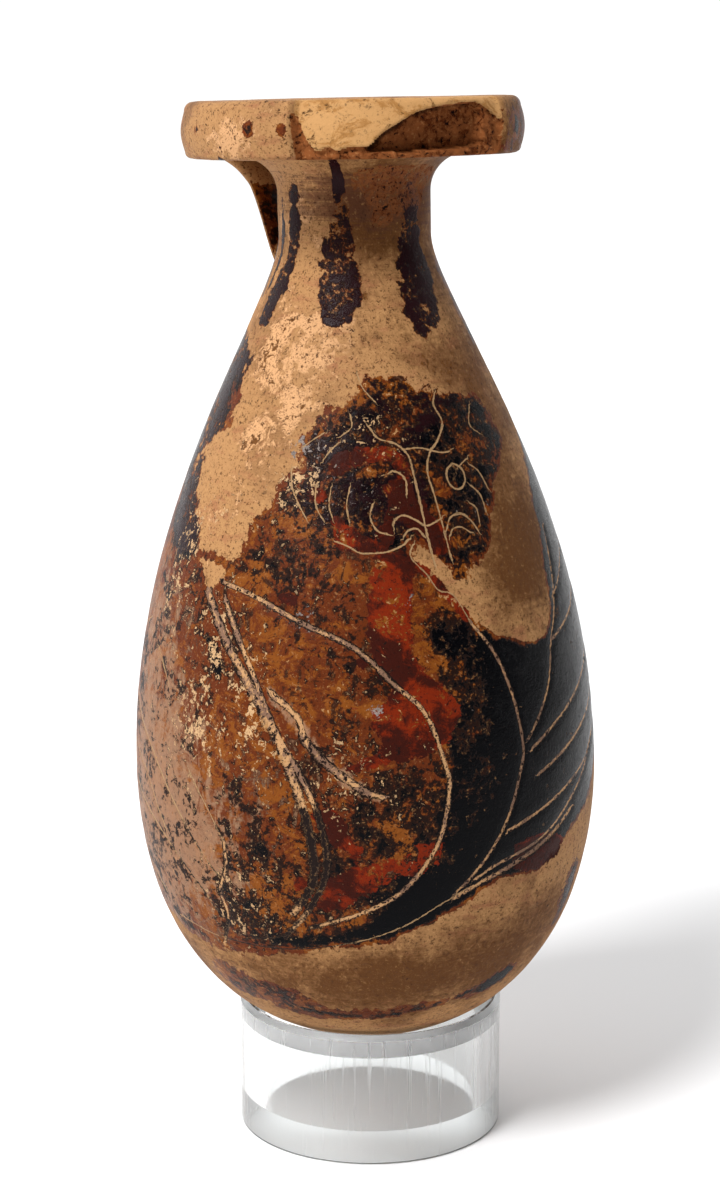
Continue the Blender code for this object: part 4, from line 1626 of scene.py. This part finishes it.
@dataclass
class Flask:
    """The painted flask: turned body, strap, broken rim, scored and worn surface.

    Attributes:
        outline: Sizes of the turned form.
        strap: Sizes of the handle.
        rim: The broken edge.
        columns: Facets round it.
        crowding: How much they crowd towards the painted front.
        facing: Azimuth in radians that they crowd to.
        unevenness: Depth in mm of the hand-made surface's waves.
        wave_mm: Length of the broad waves.
        ripple_mm: Length of the small ones.
        ripple: Height of the small ones as a share of the broad ones'.
        groove_depth: Depth in mm of the broad lines.
        score_depth: Depth in mm of the fine lines.
        line_profile: Distances in half widths at which a line starts and reaches its full depth.
        strap_slip_and_shade: Slip on the strap's outer and inner face; the inner face's dark slip is also
            painted shade between strap and neck.
    """

    outline: FlaskOutline = FlaskOutline()
    strap: StrapPath = StrapPath()
    rim: BrokenRim = BrokenRim()
    columns: int = 280
    crowding: float = 0.38
    facing: float = math.radians(8.0)
    unevenness: float = 0.16
    wave_mm: float = 14.0
    ripple_mm: float = 2.4
    ripple: float = 0.35
    groove_depth: float = 0.22
    score_depth: float = 0.14
    line_profile: tuple[float, float] = (3.2, 0.4)
    strap_slip_and_shade: tuple[float, float] = (-0.2, 0.5)

    def join_strap(self, body: bpy.types.Mesh) -> bpy.types.Mesh:
        """Join the strap to the body in one closed surface.

        Args:
            body: The turned body.

        Returns:
            Mesh of both.
        """
        strap = self.strap
        path = strap.path(self.outline)
        growth, end = strap.root_thickness / strap.thickness - 1.0, strap.root_share * len(path)
        swell = [1.0 + growth * max(0.0, 1.0 - step / end) for step in range(len(path))]
        sizes = {
            "Width": strap.width,
            "Thickness": strap.thickness,
            "Sides": strap.sides,
            "Spacing": strap.spacing,
        }
        band = run_tree("strap", path, strap_tree(), sizes, swell)
        band.transform(Matrix.Rotation(strap.azimuth - math.pi / 2, 4, "Z"))
        holders = [shown(mesh.name, mesh) for mesh in (body, band)]
        union = holders[0].modifiers.new("join", "BOOLEAN")
        union.operation = "UNION"
        union.object = holders[1]
        graph = bpy.context.evaluated_depsgraph_get()
        joined = bpy.data.meshes.new_from_object(holders[0].evaluated_get(graph))
        for holder in holders:
            bpy.data.objects.remove(holder, do_unlink=True)
        return joined

    def place(self, points: np.ndarray) -> Matrix:
        """Placement that sets the leaning flask where its solid stands.

        Args:
            points: The smooth form's points, upright.

        Returns:
            Matrix for the mesh.
        """
        lean = Matrix.Rotation(-self.outline.lean, 4, "Y")
        leaning = points @ np.array(lean.to_3x3()).T
        low, high = (np.array(corner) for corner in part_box("flask"))
        middle = (low + high) / 2 - (leaning.min(0) + leaning.max(0)) / 2
        return Matrix.Translation((middle[0], middle[1], low[2] - leaning[:, 2].min())) @ lean

    def layers(self, plan: SurfacePlan, outer: np.ndarray) -> dict[Layer, np.ndarray]:
        """Paint every layer, with the strap in slip of its own, its inner face dark with slip and painted
        shade.

        Args:
            plan: The surface's plan.
            outer: Which points lie outside; those of the strap's inner face are added to it.

        Returns:
            Values of each layer at every point.
        """
        layers = {each: plan.layer(PLAN[each], bare_value(each)) for each in Layer}
        radius = np.hypot(plan.points[:, 0], plan.points[:, 1])
        wall = np.interp(plan.height, plan.heights, plan.radii)
        strap = (radius > wall + 1.0) & (plan.height < self.outline.under / MM - 0.2)
        # The strap's inner face gets dark slip that is also painted shade between strap and neck
        layers[Layer.SLIP][strap] = np.where(outer[strap], *self.strap_slip_and_shade)
        outer |= strap
        return layers

    def depth(self, points: np.ndarray, lines: dict[Line, list[np.ndarray]]) -> np.ndarray:
        """Depth in mm of the hand's unevenness and of the scored lines.

        Args:
            points: Array of points in metres.
            lines: Distances to the scored lines.

        Returns:
            Array of depths.
        """
        waves = np.zeros(len(points))
        for number, point in enumerate(points):
            spot = Vector(point) / MM
            ripple = self.ripple * noise.noise(spot / self.ripple_mm)
            waves[number] = noise.fractal(spot / self.wave_mm, 1.0, 2.0, 3) + ripple
        depth = self.unevenness * (0.5 + 0.5 * waves)
        for line, deepest in ((Line.GROOVE, self.groove_depth), (Line.SCORE, self.score_depth)):
            for array in lines[line]:
                depth += deepest * ease(*self.line_profile, np.abs(array))
        return np.maximum(depth, 0.0)

    def build(self) -> bpy.types.Object:
        """Build, paint and place the flask.

        Returns:
            The finished piece.
        """
        sizes = {"Columns": self.columns, "Crowding": self.crowding, "Facing": self.facing}
        body = run_tree("turned_flask", self.outline.section(), turning_tree(), sizes)
        mesh = self.join_strap(body)
        points, normals = (np.empty(len(mesh.vertices) * 3) for _ in range(2))
        mesh.vertices.foreach_get("co", points)
        mesh.vertices.foreach_get("normal", normals)
        points, normals = points.reshape(-1, 3), normals.reshape(-1, 3)
        placement = self.place(points)
        plan = SurfacePlan(self.outline, points)
        outer = np.einsum("ij,ij->i", normals, points * (1, 1, 0)) > -MM
        layers = self.layers(plan, outer)
        lines = {Line.GROOVE: plan.lines(BROAD_LINES), Line.SCORE: plan.lines(FINE_LINES)}
        for each, values in self.rim.carve(self.outline, plan, points).items():
            layers[each] = np.maximum(layers[each], values)
        points -= normals * (self.depth(points, lines) * outer)[:, None] * MM
        mesh.vertices.foreach_set("co", points.ravel())
        marks = {each.value: (values, bare_value(each)) for each, values in layers.items()}
        for line, arrays in lines.items():
            for number, array in enumerate(arrays):
                marks[f"{line.value}_{number}"] = (array, plan.FAR)
        for name, (values, hidden) in marks.items():
            kept = np.where(outer, values, hidden).astype(np.float32)
            mesh.attributes.new(name, "FLOAT", "POINT").data.foreach_set("value", kept)
        finish = PaintedClay(lines=tuple((line, len(arrays)) for line, arrays in lines.items()))
        mesh.materials.clear()
        mesh.materials.append(finish.material())
        mesh.transform(placement)
        mesh.update()
        mesh.polygons.foreach_set("material_index", [0] * len(mesh.polygons))
        mesh.shade_smooth()
        return finished("painted_flask", mesh, "flask")


@dataclass
class AcrylicRing:
    """The clear ring that the flask stands in.

    Attributes:
        radius: Outer radius.
        height: Height.
        wall: Thickness of the wall.
        bevel_height: Height of the wide bevels inside both ends.
        bevel_width: Width of these bevels.
        chamfer: Width of the chamfer round the upper outer edge.
        soften: Width of the worn edge round its foot.
        columns: Facets round it.
        margin: How far inside its walls a face's middle lies where the face is sloped.
        sharp: Angle past which an edge is sharp.
    """

    radius: float = 0.0254
    height: float = 0.0254
    wall: float = 0.00476
    bevel_height: float = 0.0054
    bevel_width: float = 0.0034
    chamfer: float = 0.0009
    soften: float = 0.00025
    columns: int = 192
    margin: float = 0.0002
    sharp: float = math.radians(20)

    def section(self) -> list[Point]:
        """Closed section of the wall.

        Returns:
            List of (radius, height) pairs, from the foot up the outside and down the inside.
        """
        bore = self.radius - self.wall
        return [
            (bore + self.bevel_width, 0.0),
            (self.radius - self.soften, 0.0),
            (self.radius, self.soften),
            (self.radius, self.height - self.chamfer),
            (self.radius - self.chamfer, self.height),
            (bore + self.bevel_width, self.height),
            (bore, self.height - self.bevel_height),
            (bore, self.bevel_height),
            (bore + self.bevel_width, 0.0),
        ]

    def build(self) -> bpy.types.Object:
        """Build and place the ring.

        Returns:
            The finished piece.
        """
        sizes = {"Columns": self.columns, "Crowding": 0.0, "Facing": 0.0}
        mesh = run_tree("turned_ring", self.section(), turning_tree(), sizes)
        finish = ClearAcrylic()
        mesh.materials.clear()
        mesh.materials.append(finish.material("acrylic_polished", finish.polished))
        mesh.materials.append(finish.material("acrylic_sanded", finish.frosted))
        bore = self.radius - self.wall
        for face in mesh.polygons:
            middle = math.hypot(face.center.x, face.center.y)
            between = bore + self.margin < middle < self.radius - self.margin
            level = abs(face.normal.z) > 0.99
            face.material_index = int(between and not level)
        mesh.set_sharp_from_angle(angle=self.sharp)
        return finished("clear_ring", mesh, "acrylic_ring")


@dataclass
class Studio:
    """White paper floor, soft light from the upper left and the photograph's camera.

    Attributes:
        lens: Focal length in mm on a 36 mm sensor.
        camera_at: Where the camera stands.
        tilt: Its turn about X in degrees, 90 looking level.
        room_front: Brightness of the room behind the camera.
        room_back: Brightness of the white wall behind the flask.
        room_seen: Brightness of the room in the camera's own view.
        room_edge: From where to where, front to back, the one passes into the other.
        room_turn: How far the bright wall is turned to the left.
        key_from: Direction that the soft key light comes from.
        key_power: Its strength.
        key_angle: Width that it shows, which softens its shadows.
        paper: sRGB hex colour of the floor.
        paper_roughness: Its roughness.
        floor_reach: Half the floor's side.
    """

    lens: float = 74.53
    camera_at: tuple[float, float, float] = (-0.0020, -0.46166, 0.19897)
    tilt: float = 78.254
    room_front: float = 0.1
    room_back: float = 1.3
    room_seen: float = 1.05
    room_edge: tuple[float, float] = (-0.8, 0.7)
    room_turn: float = math.radians(24.0)
    key_from: tuple[float, float, float] = (-0.64, -0.76, 1.05)
    key_power: float = 3.7
    key_angle: float = math.radians(20.0)
    paper: str = "#F0F0F1"
    paper_roughness: float = 0.55
    floor_reach: float = 3.0

    def floor(self) -> bpy.types.Object:
        """Lay the pale floor of matt paper, which shows soft shadows and no gloss.

        Returns:
            The floor.
        """
        bm = bmesh.new()
        bmesh.ops.create_grid(bm, x_segments=8, y_segments=8, size=self.floor_reach)
        mesh = bpy.data.meshes.new("paper_floor")
        bm.to_mesh(mesh)
        bm.free()
        paper = bpy.data.materials.new("matt_white_paper")
        paper.use_nodes = True
        shader = paper.node_tree.nodes["Principled BSDF"]
        shader.inputs["Base Color"].default_value = srgb(self.paper)
        shader.inputs["Roughness"].default_value = self.paper_roughness
        mesh.materials.append(paper)
        floor = shown("paper_floor", mesh)
        return floor

    def key(self) -> bpy.types.Object:
        """Hang the key light: far off and broad, so that the whole floor is lit alike.

        Returns:
            The lamp.
        """
        data = bpy.data.lights.new("key", "SUN")
        data.energy = self.key_power
        data.angle = self.key_angle
        lamp = shown("key", data)
        lamp.rotation_euler = Vector(self.key_from).to_track_quat("Z", "Y").to_euler()
        return lamp

    def build(self) -> None:
        """Set up floor, light and camera."""
        self.floor()
        world = bpy.data.worlds.new("white_room")
        world.use_nodes = True
        tree = world.node_tree
        background = tree.nodes["Background"]
        background.inputs[0].default_value = (1.0, 1.0, 1.0, 1.0)
        heading = add(tree, "ShaderNodeTexCoord").outputs["Generated"]
        turn = {"Vector": heading, "Rotation": (0.0, 0.0, -self.room_turn)}
        turned = add(tree, "ShaderNodeMapping", turn).outputs[0]
        span = {
            "Value": add(tree, "ShaderNodeSeparateXYZ", {0: turned}).outputs["Y"],
            "From Min": self.room_edge[0],
            "From Max": self.room_edge[1],
            "To Min": self.room_front,
            "To Max": self.room_back,
        }
        white = add(tree, "ShaderNodeMapRange", span, interpolation_type="SMOOTHSTEP")
        seen = add(tree, "ShaderNodeLightPath").outputs["Is Camera Ray"]
        strength = add(tree, "ShaderNodeMix", {0: seen, 2: white.outputs[0], 3: self.room_seen})
        tree.links.new(strength.outputs[0], background.inputs[1])
        bpy.context.scene.world = world
        self.key()
        data = bpy.data.cameras.new("camera")
        data.lens = self.lens
        data.sensor_width = 36.0
        data.clip_start = 0.01
        camera = shown("camera", data)
        camera.location = self.camera_at
        camera.rotation_euler = (math.radians(self.tilt), 0.0, 0.0)
        bpy.context.scene.camera = camera
        bpy.context.scene.view_settings.view_transform = "Standard"


def main() -> None:
    """Build the studio and both pieces, and report each."""
    logging.basicConfig(level=logging.INFO, format="%(message)s")
    Studio().build()
    for maker in (Flask(), AcrylicRing()):
        piece = maker.build()
        mesh = piece.data
        LOG.info("%s: %d vertices, %d faces", piece.name, len(mesh.vertices), len(mesh.polygons))
    bpy.context.view_layer.update()


if __name__ == "__main__":
    main()
